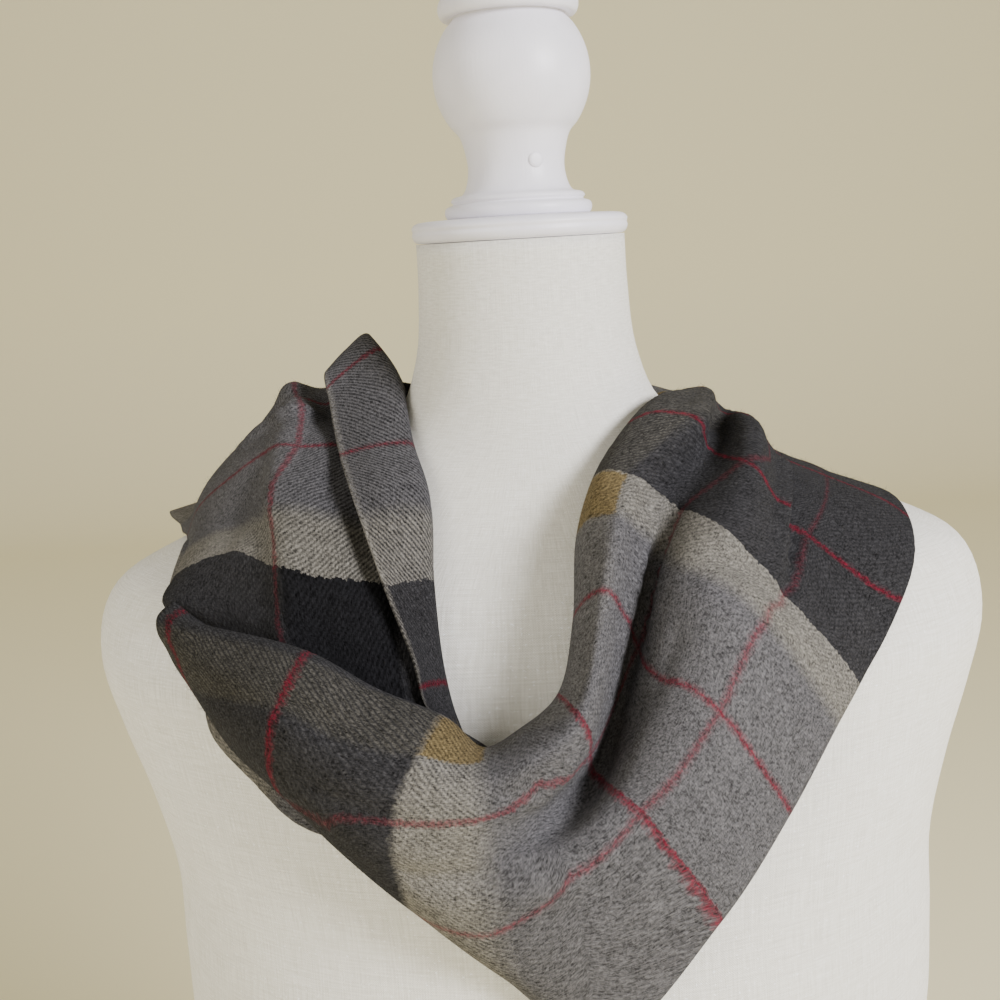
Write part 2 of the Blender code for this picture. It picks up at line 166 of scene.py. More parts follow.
print("a spline through 3 points:", len(through_points([[0, 0], [1, 1], [2, 0]], [4, 4])), "samples")

# %% [markdown]
# ## The form's cover
#
# A dress form is a padded shell with a tight cloth cover. Its shape is a stack of level
# sections, each a rounded outline that differs front and back. The CAD torso has 36 sides,
# enough for physics, but its flats would show against the light, so the same sections are
# lofted again with 160 sides. A UV map in millimetres, round and up, carries the weave.

# %% The torso's sections
TORSO_SECTIONS = (
    # height, half width, depth to the front, depth to the back, squareness (2 is an ellipse)
    (15.3, 160, 112, 112, 2.3),
    (70, 170, 120, 120, 2.3),
    (140, 160, 114, 112, 2.3),
    (215, 140, 98, 88, 2.2),
    (290, 156, 110, 92, 2.2),
    (350, 170, 124, 102, 2.2),
    (400, 171, 126, 106, 2.2),
    (440, 171, 121, 108, 2.2),
    (475, 179, 113, 108, 2.2),
    (505, 190, 105, 106, 2.1),
    (530, 196, 97, 101, 2.1),
    (550, 194, 87, 95, 2.0),
    (564, 185, 79, 89, 2.0),
    (576, 163, 72, 84, 2.0),
    (590, 128, 66, 76, 2.0),
    (608, 92, 58.5, 66, 2.0),
    (628, 58, 51.5, 56, 2.0),
    (652, 47.5, 47, 48.5, 2.0),
    (680, 44.5, 44.5, 44.5, 2.0),
    (700, 44, 44, 44, 2.0),
)
COVER_SIDES = 160
COVER_RINGS = 150
COVER_GIRTH = 960


def level_section(row, sides):
    """The points of one level section."""
    height, half_width, front, back, squareness = row
    turn = np.linspace(0, 2 * math.pi, sides, endpoint=False)
    across, ahead = np.cos(turn), np.sin(turn)
    x = half_width * np.copysign(np.abs(across) ** (2 / squareness), across)
    depth = np.where(ahead > 0, back, front)
    y = depth * np.copysign(np.abs(ahead) ** (2 / squareness), ahead)
    return np.stack([x, y, np.full(sides, height)], axis=1)


def ring_mesh(name, rings, around_mm, up_mm):
    """A closed body from stacked rings, with a UV map in millimetres round it and up it."""
    rings = np.asarray(rings, float)
    count, sides = rings.shape[:2]
    faces = [tuple(reversed(range(sides)))]
    coords = [[(rings[0, i, 0], rings[0, i, 1]) for i in reversed(range(sides))]]
    for ring in range(count - 1):
        for side in range(sides):
            following = (side + 1) % sides
            faces.append((ring * sides + side, ring * sides + following,
                          (ring + 1) * sides + following, (ring + 1) * sides + side))
            left, right = around_mm * side / sides, around_mm * (side + 1) / sides
            low, high = up_mm[ring], up_mm[ring + 1]
            coords.append([(left, low), (right, low), (right, high), (left, high)])
    top = (count - 1) * sides
    faces.append(tuple(range(top, top + sides)))
    coords.append([(rings[-1, i, 0], rings[-1, i, 1]) for i in range(sides)])
    mesh = bpy.data.meshes.new(name)
    mesh.from_pydata((rings.reshape(-1, 3) * MM).tolist(), [], faces)
    layer = mesh.uv_layers.new(name="weave")
    layer.data.foreach_set("uv", np.array([c for face in coords for c in face], float).ravel())
    mesh.shade_smooth()
    return into_scene(name, mesh)


sections = through_points(np.array(TORSO_SECTIONS, float), [12] * (len(TORSO_SECTIONS) - 1))
climb = np.concatenate([[0], np.cumsum(np.hypot(np.diff(sections[:, 0]), np.diff(sections[:, 1])))])
stops = np.linspace(0, climb[-1], COVER_RINGS)
rings = [level_section([np.interp(stop, climb, sections[:, c]) for c in range(5)], COVER_SIDES)
         for stop in stops]
cover = ring_mesh("form_cover", rings, COVER_GIRTH, stops)
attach(cover, "root")
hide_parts("form_torso")
cover_tree = BVHTree.FromPolygons([v.co.copy() for v in cover.data.vertices],
                                  [tuple(p.vertices) for p in cover.data.polygons])
print("cover:", len(cover.data.polygons), "faces, girth under the arms about", COVER_GIRTH, "mm")

# %% [markdown]
# ## The linen cover
#
# The cover is off-white linen in a plain weave: threads over and under each other, about one to
# a millimetre, some thicker than others (slubs), with a few bright fibres that catch the light.
# A plain weave is two sets of ridges at right angles that take turns on top, so the pattern is
# the product of two sine waves. Long thin noise makes whole threads lighter or darker. The colour
# follows the weave's height, so the dips between the threads come out darker: that is painted
# shade, while the lighter and darker threads are the linen's own tone. The yarn is drawn at
# 0.85 mm, a little coarser than real, so that it shows at arm's length.

# %% Linen
LINEN_THREAD = 0.85
LINEN_SHADES = ("#d3d0c5", "#f5f3ec")
LINEN_GLINT = "#ffffff"
# how far the threads wander, in radians of their wave, and the weave's height beside the slubs'
THREAD_SWING = 9.0
WEAVE_SHARE = 0.22


def linen_weave():
    """Off-white linen, plain weave: matte, slubby, with a few glints."""
    material, tree, shader = new_material("off-white linen, plain weave")
    uv = add_node(tree, "ShaderNodeUVMap", uv_map="weave")
    place = add_node(tree, "ShaderNodeSeparateXYZ", (uv,)).outputs
    drift = add_node(tree, NOISE, {"Vector": uv, "Scale": 0.15, "Detail": 3.0})
    swing = add_node(tree, MATH, (drift, THREAD_SWING), operation="MULTIPLY")
    waves, slubs = [], []
    for axis in (0, 1):
        phase = add_node(tree, MATH, (place[axis], 2 * math.pi / LINEN_THREAD, swing),
                         operation="MULTIPLY_ADD")
        waves.append(add_node(tree, MATH, (phase,), operation="SINE"))
    for stretch in ((0.06, 1.4, 1.0), (1.4, 0.06, 1.0)):
        long_way = add_node(tree, "ShaderNodeMapping", {"Vector": uv, "Scale": stretch})
        slubs.append(add_node(tree, NOISE, {"Vector": long_way, "Scale": 1.0, "Detail": 2.0}))
    over_under = add_node(tree, MATH, waves, operation="MULTIPLY")
    threads = add_node(tree, MATH, slubs, operation="ADD")
    height = add_node(tree, MATH, (over_under, WEAVE_SHARE, threads), operation="MULTIPLY_ADD")
    # the dips between the threads come out darker here, which is painted shade; the slubs' tone is the
    # linen's own
    tone = add_node(tree, "ShaderNodeMapRange", {"Value": height, "From Min": 0.6, "From Max": 1.4})
    dark, light = map(linear, LINEN_SHADES)
    shade = add_node(tree, MIX, {0: tone, 6: dark, 7: light}, data_type="RGBA").outputs[2]
    sparks = add_node(tree, NOISE, {"Vector": uv, "Scale": 0.8, "Detail": 2.0, "Roughness": 0.7})
    spark = add_node(tree, "ShaderNodeMapRange", {"Value": sparks, "From Min": 0.61, "From Max": 0.70})
    lit = add_node(tree, MIX, {0: spark, 6: shade, 7: linear(LINEN_GLINT)}, data_type="RGBA").outputs[2]
    gloss = add_node(tree, "ShaderNodeMapRange", {"Value": spark, "To Min": 0.85, "To Max": 0.4})
    relief = add_node(tree, "ShaderNodeBump", {"Height": height, "Strength": 0.5, "Distance": 0.0005})
    tree.links.new(lit, shader.inputs["Base Color"])
    tree.links.new(gloss.outputs[0], shader.inputs["Roughness"])
    tree.links.new(relief.outputs[0], shader.inputs["Normal"])
    shader.inputs["Specular IOR Level"].default_value = 0.35
    return material


linen = linen_weave()
cover.data.materials.append(linen)
print("linen thread:", LINEN_THREAD, "mm")

# %% [markdown]
# ## Turned and painted wood
#
# The neck cap and the finial are turned on a lathe and painted white in several coats. The
# brush runs along the grain, so fine upright lines stay in the paint, and the arrises are
# slightly soft. A turned piece is a profile swept round its axis, which is what the ring mesh
# does here with 96 sides.

# %% Turned pieces
CAP_PROFILE = (
    # radius, height, from the top of the outer side down
    (0, 709.0), (40, 709.0), (44, 708.2), (45.5, 706.4), (45.2, 704.9), (45.5, 703.4),
    (44.6, 701.2), (43, 700.3), (0, 700.3),
)
FINIAL_FOOT = 709.3
BALL_RADIUS = 32.5
BALL_CENTRE = 765.5
FINIAL_TOP = (
    (0, 815), (8, 814.2), (15, 811.5), (20, 807), (22, 801.5), (20.5, 798.5), (27, 796.5),
    (28.8, 792.5), (27.4, 788.6),
)
FINIAL_STEM = (
    (20.8, 735), (20.2, 729), (21.2, 723), (23.2, 719.2), (27.2, 718), (28.2, 716.6),
    (27.4, 715.4), (30.4, 714), (31, 712), (30.4, 710), (29.5, FINIAL_FOOT), (0, FINIAL_FOOT),
)
TURNED_SIDES = 96
TURNED_GIRTH = 200


def rounded_profile(profile):
    """A turned profile, from the foot up, with its corners softened by a spline."""
    points = np.array(profile[::-1], float)
    fine = through_points(points, [4] * (len(points) - 1))
    fine[:, 0] = np.maximum(fine[:, 0], 0.4)
    return fine


def turned(name, profile, sides=TURNED_SIDES, girth=TURNED_GIRTH):
    """A lathe-turned piece round the Z axis."""
    turn = np.linspace(0, 2 * math.pi, sides, endpoint=False)
    rings = [np.stack([r * np.cos(turn), r * np.sin(turn), np.full(sides, z)], axis=1) for r, z in profile]
    climb = np.concatenate([[0], np.cumsum(np.linalg.norm(np.diff(profile, axis=0), axis=1))])
    return ring_mesh(name, rings, girth, climb)


ball = tuple((BALL_RADIUS * math.cos(math.radians(a)),
              BALL_CENTRE + BALL_RADIUS * math.sin(math.radians(a))) for a in range(45, -50, -9))
finial_profile = rounded_profile(FINIAL_TOP + ball + FINIAL_STEM)
cap = turned("neck_cap_turned", rounded_profile(CAP_PROFILE))
finial = turned("finial_turned", finial_profile)
for piece, node in ((cap, "neck_cap"), (finial, "finial")):
    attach(piece, "root")
    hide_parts(node)
print("finial:", len(finial.data.polygons), "faces, ball", 2 * BALL_RADIUS, "mm")

# %% [markdown]
# ## The plug in the finial
#
# A turned finial is pinned, and a small round plug of the same wood fills the pin's hole. It
# stands a hair proud, so that its edge draws a fine line. It is a low dome set on the surface,
# turned to face outward from the axis.

# %% Plug
PLUG_RADIUS = 3.2
PLUG_HEIGHT = 731.0
PLUG_TURN = 22.0
PLUG_SIDES = 32
PLUG_GIRTH = 20


def small_plug(name):
    """A low round plug on the finial's waist."""
    waist = float(np.interp(PLUG_HEIGHT, finial_profile[:, 1], finial_profile[:, 0]))
    dome = [(PLUG_RADIUS, -3.0), (PLUG_RADIUS, 0.2), (PLUG_RADIUS - 0.2, 0.55), (2.0, 0.7), (0.4, 0.75)]
    obj = turned(name, dome, PLUG_SIDES, PLUG_GIRTH)
    obj.data.transform(Matrix.Rotation(math.radians(PLUG_TURN), 4, "Z")
                       @ Matrix.Translation((0, -waist * MM, PLUG_HEIGHT * MM))
                       @ Matrix.Rotation(math.radians(90), 4, "X"))
    return obj


plug = small_plug("finial_plug")
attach(plug, "root")
print("plug:", 2 * PLUG_RADIUS, "mm across")

# %% [markdown]
# ## The base board
#
# The board under the form is a flat piece of the same painted wood. Its edge is rounded over
# with a small radius. It is a stack of the same rounded outline, a little smaller at the two
# arrises.

# %% Base board
BOARD_THICKNESS = 15.0
BOARD_MARGIN = 3.0
BOARD_GIRTH = 880
# height from the nearer face, and how far the outline stands in there
BOARD_ARRIS = ((0, 2.0), (0.3, 1.1), (1.0, 0.35), (2.0, 0))


def rounded_board(name):
    """The board, from its underside up, with both edges rounded over."""
    _, half_width, front, back, squareness = TORSO_SECTIONS[0]
    levels = list(BOARD_ARRIS) + [(BOARD_THICKNESS - up, inset) for up, inset in reversed(BOARD_ARRIS)]
    rings = []
    for height, inset in levels:
        more = BOARD_MARGIN - inset
        rings.append(level_section((height, half_width + more, front + more, back + more, squareness),
                                   COVER_SIDES))
    return ring_mesh(name, rings, BOARD_GIRTH, np.array([height for height, _ in levels]))


board = rounded_board("base_board_rounded")
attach(board, "root")
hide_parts("base_board")
print("board:", BOARD_THICKNESS, "mm thick")

# %% [markdown]
# ## White paint on wood
#
# Satin enamel: a smooth skin with a soft highlight, and very fine upright ridges from the brush
# and the grain. The ridges are noise stretched along the up direction. Paint gathers in hollows
# and thins on arrises, which a slow noise stands for as a slight change of tone.

# %% Paint
PAINT_SHADES = ("#dedce4", "#efedf4")
BRUSH_LINES = (900, 900, 60)


def satin_paint():
    """White satin enamel over turned wood."""
    material, tree, shader = new_material("white satin enamel on turned wood")
    where = add_node(tree, "ShaderNodeTexCoord").outputs["Object"]
    upright = add_node(tree, "ShaderNodeMapping", {"Vector": where, "Scale": BRUSH_LINES})
    grain = add_node(tree, NOISE, {"Vector": upright, "Scale": 1.0, "Detail": 4.0})
    coat = add_node(tree, NOISE, {"Vector": where, "Scale": 70.0, "Detail": 2.0})
    thin, thick = map(linear, PAINT_SHADES)
    tone = add_node(tree, MIX, {0: coat, 6: thin, 7: thick}, data_type="RGBA").outputs[2]
    gloss = add_node(tree, "ShaderNodeMapRange", {"Value": grain, "To Min": 0.32, "To Max": 0.5})
    relief = add_node(tree, "ShaderNodeBump", {"Height": grain, "Strength": 0.25, "Distance": 0.0003})
    tree.links.new(tone, shader.inputs["Base Color"])
    tree.links.new(gloss.outputs[0], shader.inputs["Roughness"])
    tree.links.new(relief.outputs[0], shader.inputs["Normal"])
    shader.inputs["IOR"].default_value = 1.5
    return material


enamel = satin_paint()
painted = (cap, finial, plug, board)
for piece in painted:
    piece.data.materials.append(enamel)
print("enamel on", len(painted), "pieces")

# %% [markdown]
# ## The fold lines of the scarf
#
# A cloth that is folded lengthways and wound round a neck keeps a handful of lines that run its
# whole length: the edge at the neck, the crest of the roll, the valley behind it, a second ridge
# and so on to the outer edge. The table has one row for each station along the cloth, where the
# photograph shows a line of the check crossing it, and says where each line passes there. These
# are the same values that the CAD source uses, so the fine cloth lies on its solids.

# %% Stations of the scarf
ON_FORM = 1.5
OVER_TAIL = 4.3
LINES = ("neck_edge", "crest", "roll", "valley", "ridge", "dip", "panel", "hem", "outer_edge")
STATIONS = (
    # name, least distance from the form, then the point on each of the lines, in millimetres
    ("left_tip", OVER_TAIL,
     (-145, -67, 569), (-150, -72, 565), (-149, -78, 561), (-145, -82, 555), (-142, -84, 549),
     (-138, -84, 541), (-135, -83, 534), (-131, -81, 527), (-129, -75, 527)),
    ("left_end", OVER_TAIL,
     (-127, -86, 563), (-129, -92, 566), (-129, -102, 560), (-127, -107, 553), (-126, -108, 545),
     (-125, -107, 538), (-123, -103, 529), (-120, -97, 519), (-116, -90, 520)),
    ("left_red_line", OVER_TAIL,
     (-84, -110, 556), (-86, -118, 562), (-90, -132, 558), (-94, -137, 551), (-97, -138, 543),
     (-99, -136, 534), (-100, -131, 523), (-98, -122, 511), (-94, -112, 511)),
    ("left_middle", OVER_TAIL,
     (-60, -118, 544), (-63, -126, 550), (-69, -143, 546), (-75, -148, 537), (-78, -148, 526),
     (-80, -145, 515), (-79, -140, 504), (-76, -130, 490), (-72, -119, 489)),
    ("dark_boundary", OVER_TAIL,
     (-38, -119, 533), (-40, -128, 539), (-48, -146, 533), (-54, -152, 523), (-57, -152, 510),
     (-58, -149, 497), (-57, -144, 484), (-54, -134, 470), (-50, -123, 470)),
    ("vee_left", OVER_TAIL,
     (-24, -112, 517), (-26, -120, 523), (-28, -144, 523), (-29, -147, 510), (-29, -147, 496),
     (-28, -147, 482), (-27, -145, 466), (-23, -139, 446), (-18, -130, 433)),
    ("vee_right", OVER_TAIL,
     (-12, -109, 521), (-12, -116, 528), (-9, -144, 528), (-7, -133, 503), (-2, -142, 494),
     (2, -144, 482), (4, -144, 465), (7, -140, 440), (10, -134, 412)),
    ("red_line_two", ON_FORM,
     (4, -104, 530), (2, -111, 538), (8, -138, 540), (14, -112, 508), (21, -134, 509),
     (28, -139, 504), (36, -141, 492), (47, -138, 474), (55, -133, 458)),
    ("red_line_one", ON_FORM,
     (14, -89, 552), (10, -92, 559), (20, -113, 577), (32, -91, 551), (37, -116, 545),
     (48, -124, 543), (58, -126, 533), (74, -122, 508), (84, -117, 490)),
    ("pale_band_low", ON_FORM,
     (18, -73, 580), (14, -75, 588), (28, -95, 600), (42, -75, 581), (50, -98, 580),
     (61, -107, 576), (77, -109, 561), (96, -105, 533), (106, -100, 516)),
    ("pale_band_top", ON_FORM,
     (27, -63, 600), (22, -67, 608), (36, -77, 610), (49, -62, 597), (67, -90, 591),
     (86, -92, 568), (99, -91, 552), (111, -88, 537), (119, -84, 525)),
    ("dark_red_line", ON_FORM,
     (43, -53, 616), (37, -53, 625), (62, -45, 627), (73, -36, 611), (85, -63, 606),
     (99, -54, 585), (113, -59, 572), (129, -62, 558), (142, -60, 549)),
    ("neck_corner", ON_FORM,
     (58, -31, 624), (52, -33, 633), (69, -22, 630), (79, -17, 618), (90, -43, 613),
     (105, -32, 591), (121, -35, 581), (139, -40, 569), (151, -43, 562)),
    ("right_top", ON_FORM,
     (68, -1, 622), (64, -3, 630), (75, 2, 631), (85, 0, 623), (93, -22, 618),
     (111, -12, 596), (128, -12, 590), (147, -18, 580), (157, -27, 575)),
    ("right_back", ON_FORM,
     (63, 41, 616), (60, 36, 624), (72, 42, 625), (84, 44, 616), (94, 40, 610),
     (107, 40, 595), (121, 49, 590), (134, 53, 579), (142, 57, 567)),
    ("back_right", ON_FORM,
     (36, 57, 619), (34, 55, 627), (46, 66, 630), (54, 77, 619), (65, 86, 612),
     (72, 90, 598), (81, 93, 584), (91, 95, 568), (98, 94, 552)),
    ("back_middle", ON_FORM,
     (-2, 65, 622), (-2, 68, 631), (-1, 80, 635), (0, 91, 624), (1, 102, 614),
     (2, 106, 598), (3, 108, 582), (4, 110, 564), (5, 109, 546)),
    ("back_left", ON_FORM,
     (-38, 52, 622), (-39, 55, 631), (-50, 67, 633), (-60, 76, 624), (-70, 84, 616),
     (-79, 88, 601), (-88, 91, 586), (-99, 92, 570), (-107, 91, 555)),
    ("left_turn", ON_FORM,
     (-58, 37, 631), (-61, 39, 638), (-73, 46, 635), (-86, 48, 631), (-96, 54, 624),
     (-106, 56, 609), (-120, 56, 598), (-139, 54, 589), (-172, 43, 582)),
    ("left_rise", ON_FORM,
     (-67, 31, 636), (-70, 33, 640), (-77, 37, 641), (-90, 34, 637), (-101, 41, 633),
     (-110, 41, 621), (-122, 39, 609), (-139, 32, 597), (-163, 22, 580)),
    ("left_peak", ON_FORM,
     (-74, 20, 646), (-77, 20, 646), (-81, 19, 644), (-91, 16, 638), (-106, 22, 641),
     (-115, 22, 631), (-126, 17, 618), (-139, 6, 604), (-156, 0, 581)),
    ("lapel_line_one", ON_FORM,
     (-65, 2, 642), (-68, 2, 638), (-72, 3, 634), (-86, -4, 629), (-98, -10, 632),
     (-113, -3, 627), (-128, -4, 617), (-141, -8, 604), (-153, -8, 583)),
    ("lapel_line_two", ON_FORM,
     (-54, -41, 619), (-57, -40, 618), (-61, -38, 617), (-77, -33, 622), (-95, -36, 622),
     (-112, -29, 619), (-126, -27, 610), (-142, -21, 597), (-150, -16, 583)),
    ("left_pale_band", OVER_TAIL,
     (-50, -58, 604), (-54, -57, 603), (-59, -56, 602), (-74, -55, 603), (-94, -58, 608),
     (-110, -50, 603), (-124, -47, 597), (-142, -38, 587), (-148, -26, 579)),
    ("left_dark_boundary", OVER_TAIL,
     (-48, -79, 573), (-51, -79, 573), (-56, -80, 574), (-66, -84, 578), (-84, -88, 581),
     (-102, -80, 584), (-120, -67, 588), (-145, -55, 577), (-151, -45, 570)),
    ("pocket", OVER_TAIL,
     (-45, -94, 551), (-47, -95, 552), (-51, -96, 553), (-62, -98, 555), (-81, -98, 558),
     (-101, -92, 564), (-123, -76, 571), (-150, -61, 568), (-152, -52, 564)),
    ("hidden_end", OVER_TAIL,
     (-38, -102, 527), (-41, -103, 529), (-46, -104, 532), (-57, -106, 536), (-77, -105, 544),
     (-97, -99, 552), (-118, -83, 558), (-140, -66, 558), (-144, -57, 557)),
)
STATION_NAMES = [station[0] for station in STATIONS]
ALONG = 11
ACROSS_STEPS = (6, 10, 10, 10, 10, 10, 9, 8)
COLUMNS = sum(ACROSS_STEPS) + 1
GATHERS = 3
GATHER_DEPTH = 3.0
GATHER_CENTRE = 0.35


def row_of(station):
    """The grid row of a named station."""
    return STATION_NAMES.index(station) * ALONG


def column_of(line):
    """The grid column of a named fold line."""
    return sum(ACROSS_STEPS[:LINES.index(line)])


def gather(grid):
    """The three soft gathers at the nape, as in the CAD source."""
    first, last = row_of("right_back"), row_of("left_turn")
    for i in range(first, last + 1):
        share = (i - first) / (last - first)
        wave = math.sin(math.pi * share) * math.sin(2 * GATHERS * math.pi * share)
        for j in range(COLUMNS):
            depth = max(0.0, 1 - abs(j / COLUMNS - GATHER_CENTRE) / GATHER_CENTRE)
            outward = grid[i, j] * (1, 1, 0)
            grid[i, j] += outward / np.linalg.norm(outward) * GATHER_DEPTH * depth * wave
    return grid


lattice = np.array([station[2:] for station in STATIONS], float)
scarf_grid = gather(smooth_sheet(lattice, ALONG, ACROSS_STEPS))
print("scarf grid:", scarf_grid.shape[0], "rows by", scarf_grid.shape[1], "columns")

# %% [markdown]
# ## Where the weave lies on the cloth
#
# The check was woven flat, so each point of the draped cloth has two woven coordinates in
# millimetres: how far it lies along the scarf and how far across it. Along is one number for a
# station, because a weft thread runs straight across. Across is written for a few stations at
# each fold line, since the cloth is folded there by different amounts. It is 0 at the outer
# selvedge and 300 at the inner one.

# %% Woven coordinates
WOVEN_ALONG = {
    "left_tip": 259, "left_end": 245, "left_red_line": 206, "left_middle": 188, "dark_boundary": 171,
    "vee_left": 148, "vee_right": 128, "red_line_two": 108, "red_line_one": 60, "pale_band_low": 23,
    "pale_band_top": 0, "dark_red_line": -36, "neck_corner": -60, "right_top": -84, "right_back": -140,
    "back_right": -205, "back_middle": -270, "back_left": -340, "left_turn": -405, "left_rise": -430,
    "left_peak": -455, "lapel_line_one": -486, "lapel_line_two": -519, "left_pale_band": -548,
    "left_dark_boundary": -580, "pocket": -596, "hidden_end": -607,
}
WOVEN_ACROSS = (
    # station, then the value on each of the lines
    ("left_tip", 141, 132, 124, 117, 111, 105, 100, 92, 87),
    ("left_end", 139, 132, 122, 112, 104, 98, 94, 89, 84),
    ("left_red_line", 143, 133, 120, 107, 99, 93, 89, 84, 78),
    ("left_middle", 138, 130, 112, 100, 92, 85, 80, 66, 56),
    ("dark_boundary", 136, 127, 105, 92, 80, 66, 52, 35, 23),
    ("vee_left", 127, 117, 98, 82, 68, 54, 38, 17, 0),
    ("vee_right", 122, 112, 91, 68, 45, 34, 17, -8, -37),
    ("red_line_two", 130, 122, 100, 71, 47, 36, 26, 11, 0),
    ("red_line_one", 132, 124, 108, 87, 66, 50, 36, 16, 0),
    ("pale_band_low", 132, 122, 103, 90, 72, 55, 38, 16, 0),
    ("pale_band_top", 130, 121, 102, 92, 64, 40, 24, 10, 0),
    ("dark_red_line", 134, 124, 106, 97, 78, 50, 27, 12, 0),
    ("neck_corner", 136, 127, 115, 105, 92, 64, 31, 14, 0),
    ("right_top", 136, 128, 116, 106, 90, 62, 33, 15, 0),
    ("right_back", 121, 111, 98, 82, 70, 50, 32, 15, 0),
    ("left_turn", 272, 266, 256, 244, 232, 215, 198, 178, 146),
    ("left_peak", 252, 249, 244, 232, 215, 202, 184, 162, 146),
    ("lapel_line_two", 262, 259, 254, 237, 218, 200, 183, 161, 144),
    ("left_dark_boundary", 273, 270, 264, 253, 234, 214, 191, 161, 148),
    ("hidden_end", 280, 276, 270, 258, 236, 214, 187, 159, 150),
)
# How much the nap is brushed up on four of the lines, from 0, clear twill, to 1, felted
BRUSHED_LINES = ("neck_edge", "crest", "ridge", "outer_edge")
BRUSHED = (
    ("left_tip", 0.1, 0.15, 0.7, 0.9),
    ("left_red_line", 0.1, 0.15, 0.75, 0.9),
    ("dark_boundary", 0.2, 0.2, 0.8, 0.9),
    ("vee_left", 0.5, 0.55, 0.8, 0.6),
    ("vee_right", 0.8, 0.8, 0.95, 0.9),
    ("red_line_one", 0.8, 0.85, 0.95, 0.95),
    ("dark_red_line", 0.5, 0.5, 0.8, 0.8),
    ("right_back", 0.3, 0.4, 0.6, 0.6),
    ("left_turn", 0.4, 0.5, 0.7, 0.7),
    ("lapel_line_two", 0.5, 0.55, 0.75, 0.8),
    ("left_pale_band", 0.3, 0.35, 0.6, 0.85),
    ("hidden_end", 0.4, 0.4, 0.8, 0.9),
)


def spread(table, lines):
    """A table's values at every row and column of the scarf's grid."""
    knots = [column_of(line) for line in lines]
    rows = [row_of(entry[0]) for entry in table]
    values = np.array([entry[1:] for entry in table], float)
    at_knots = np.stack([np.interp(np.arange(len(scarf_grid)), rows, values[:, k])
                         for k in range(values.shape[1])], axis=1)
    return np.stack([np.interp(np.arange(COLUMNS), knots, row) for row in at_knots])


def at_rows(values):
    """A value for each station, at every row of the scarf's grid."""
    return np.interp(np.arange(len(scarf_grid)), np.arange(len(STATIONS)) * ALONG, values)


woven_across = spread(WOVEN_ACROSS, LINES)
brushed = spread(BRUSHED, BRUSHED_LINES)
woven_along = np.repeat(at_rows([WOVEN_ALONG[n] for n in STATION_NAMES])[:, None], COLUMNS, axis=1)
print("woven length that shows:", round(float(np.ptp(woven_along))), "mm")

# %% [markdown]
# ## Creases
#
# Between its large folds a worn cloth has small ones: troughs that fade out at both ends, where
# it turns a corner or was pressed in a drawer. Each row of the table is one, from a station and
# a fold line to another, with its depth (below zero) or height and its half width. Every grid
# point near the line between the two is moved along the surface's own normal, by a bell curve
# across the crease and a fade along it. They are uneven, and the back has some of its own.

# %% Crease table
CREASES = (
    # from: station and line number; to: station and line number; height and half width in mm
    (1.2, 3.6, 3.6, 1.6, -2.2, 5.0),
    (0.8, 2.4, 2.6, 3.4, 1.4, 6.0),
    (2.4, 4.8, 4.4, 3.4, -1.6, 5.5),
    (3.2, 1.2, 4.6, 2.6, 1.5, 5.0),
    (3.8, 5.8, 5.8, 3.5, -3.5, 6.0),
    (4.6, 2.9, 7.2, 2.3, 3.0, 6.0),
    (5.0, 3.8, 7.6, 3.0, -3.2, 6.0),
    (5.0, 5.2, 7.0, 4.3, 2.5, 7.0),
    (7.2, 3.4, 8.6, 4.6, -2.0, 5.0),
    (7.5, 2.7, 10.8, 2.8, 3.0, 5.0),
    (7.5, 3.3, 10.8, 3.3, -3.0, 3.5),
    (7.6, 6.4, 9.6, 5.2, 1.2, 7.0),
    (8.0, 1.5, 12.0, 1.5, 2.5, 6.0),
    (9.8, 5.25, 13.2, 5.25, -5.5, 3.2),
    (9.8, 4.8, 13.2, 4.8, 5.0, 4.0),
    (10.4, 3.8, 13.6, 3.9, 3.0, 6.0),
    (10.6, 2.3, 13.4, 2.3, 3.5, 4.0),
    (10.6, 3.0, 13.6, 3.0, -4.0, 4.5),
    (11.2, 1.6, 12.8, 2.2, -1.5, 3.5),
    (12.4, 6.0, 13.6, 6.6, -2.5, 4.0),
    (13.4, 4.4, 14.6, 5.6, 1.8, 5.0),
    (14.2, 2.2, 16.4, 4.8, -1.8, 6.0),
    (15.4, 6.2, 17.8, 4.2, 1.6, 7.0),
    (16.2, 1.4, 17.4, 3.8, -2.2, 5.0),
    (17.2, 5.6, 18.8, 6.4, -1.8, 6.0),
    (18.2, 3.2, 19.4, 5.4, 1.8, 5.0),
    (19.5, 4.0, 24.0, 4.7, 3.0, 7.0),
    (20.4, 3.4, 20.5, 6.0, -4.0, 4.5),
    (21.0, 3.2, 21.1, 6.0, 3.5, 4.0),
    (21.4, 2.6, 23.4, 3.6, -1.6, 4.5),
    (22.2, 5.2, 24.2, 6.4, -2.0, 6.0),
    (22.5, 4.4, 26.0, 4.8, 5.5, 7.0),
    (22.6, 2.4, 24.4, 3.2, -3.0, 7.0),
    (24.2, 1.8, 25.6, 3.0, -1.8, 5.0),
)


def directions(grid):
    """The way each row of a grid runs on to the next: halfway between its two neighbours' ways."""
    steps = np.diff(grid, axis=0)
    steps /= np.maximum(np.linalg.norm(steps, axis=2, keepdims=True), 1e-9)
    return np.concatenate([steps[:1], steps[:-1] + steps[1:], steps[-1:]])


def grid_normals(grid):
    """The outward normals of a sheet's points."""
    across = directions(grid.transpose(1, 0, 2)).transpose(1, 0, 2)
    normals = np.cross(across, directions(grid))
    return normals / np.maximum(np.linalg.norm(normals, axis=2, keepdims=True), 1e-9)


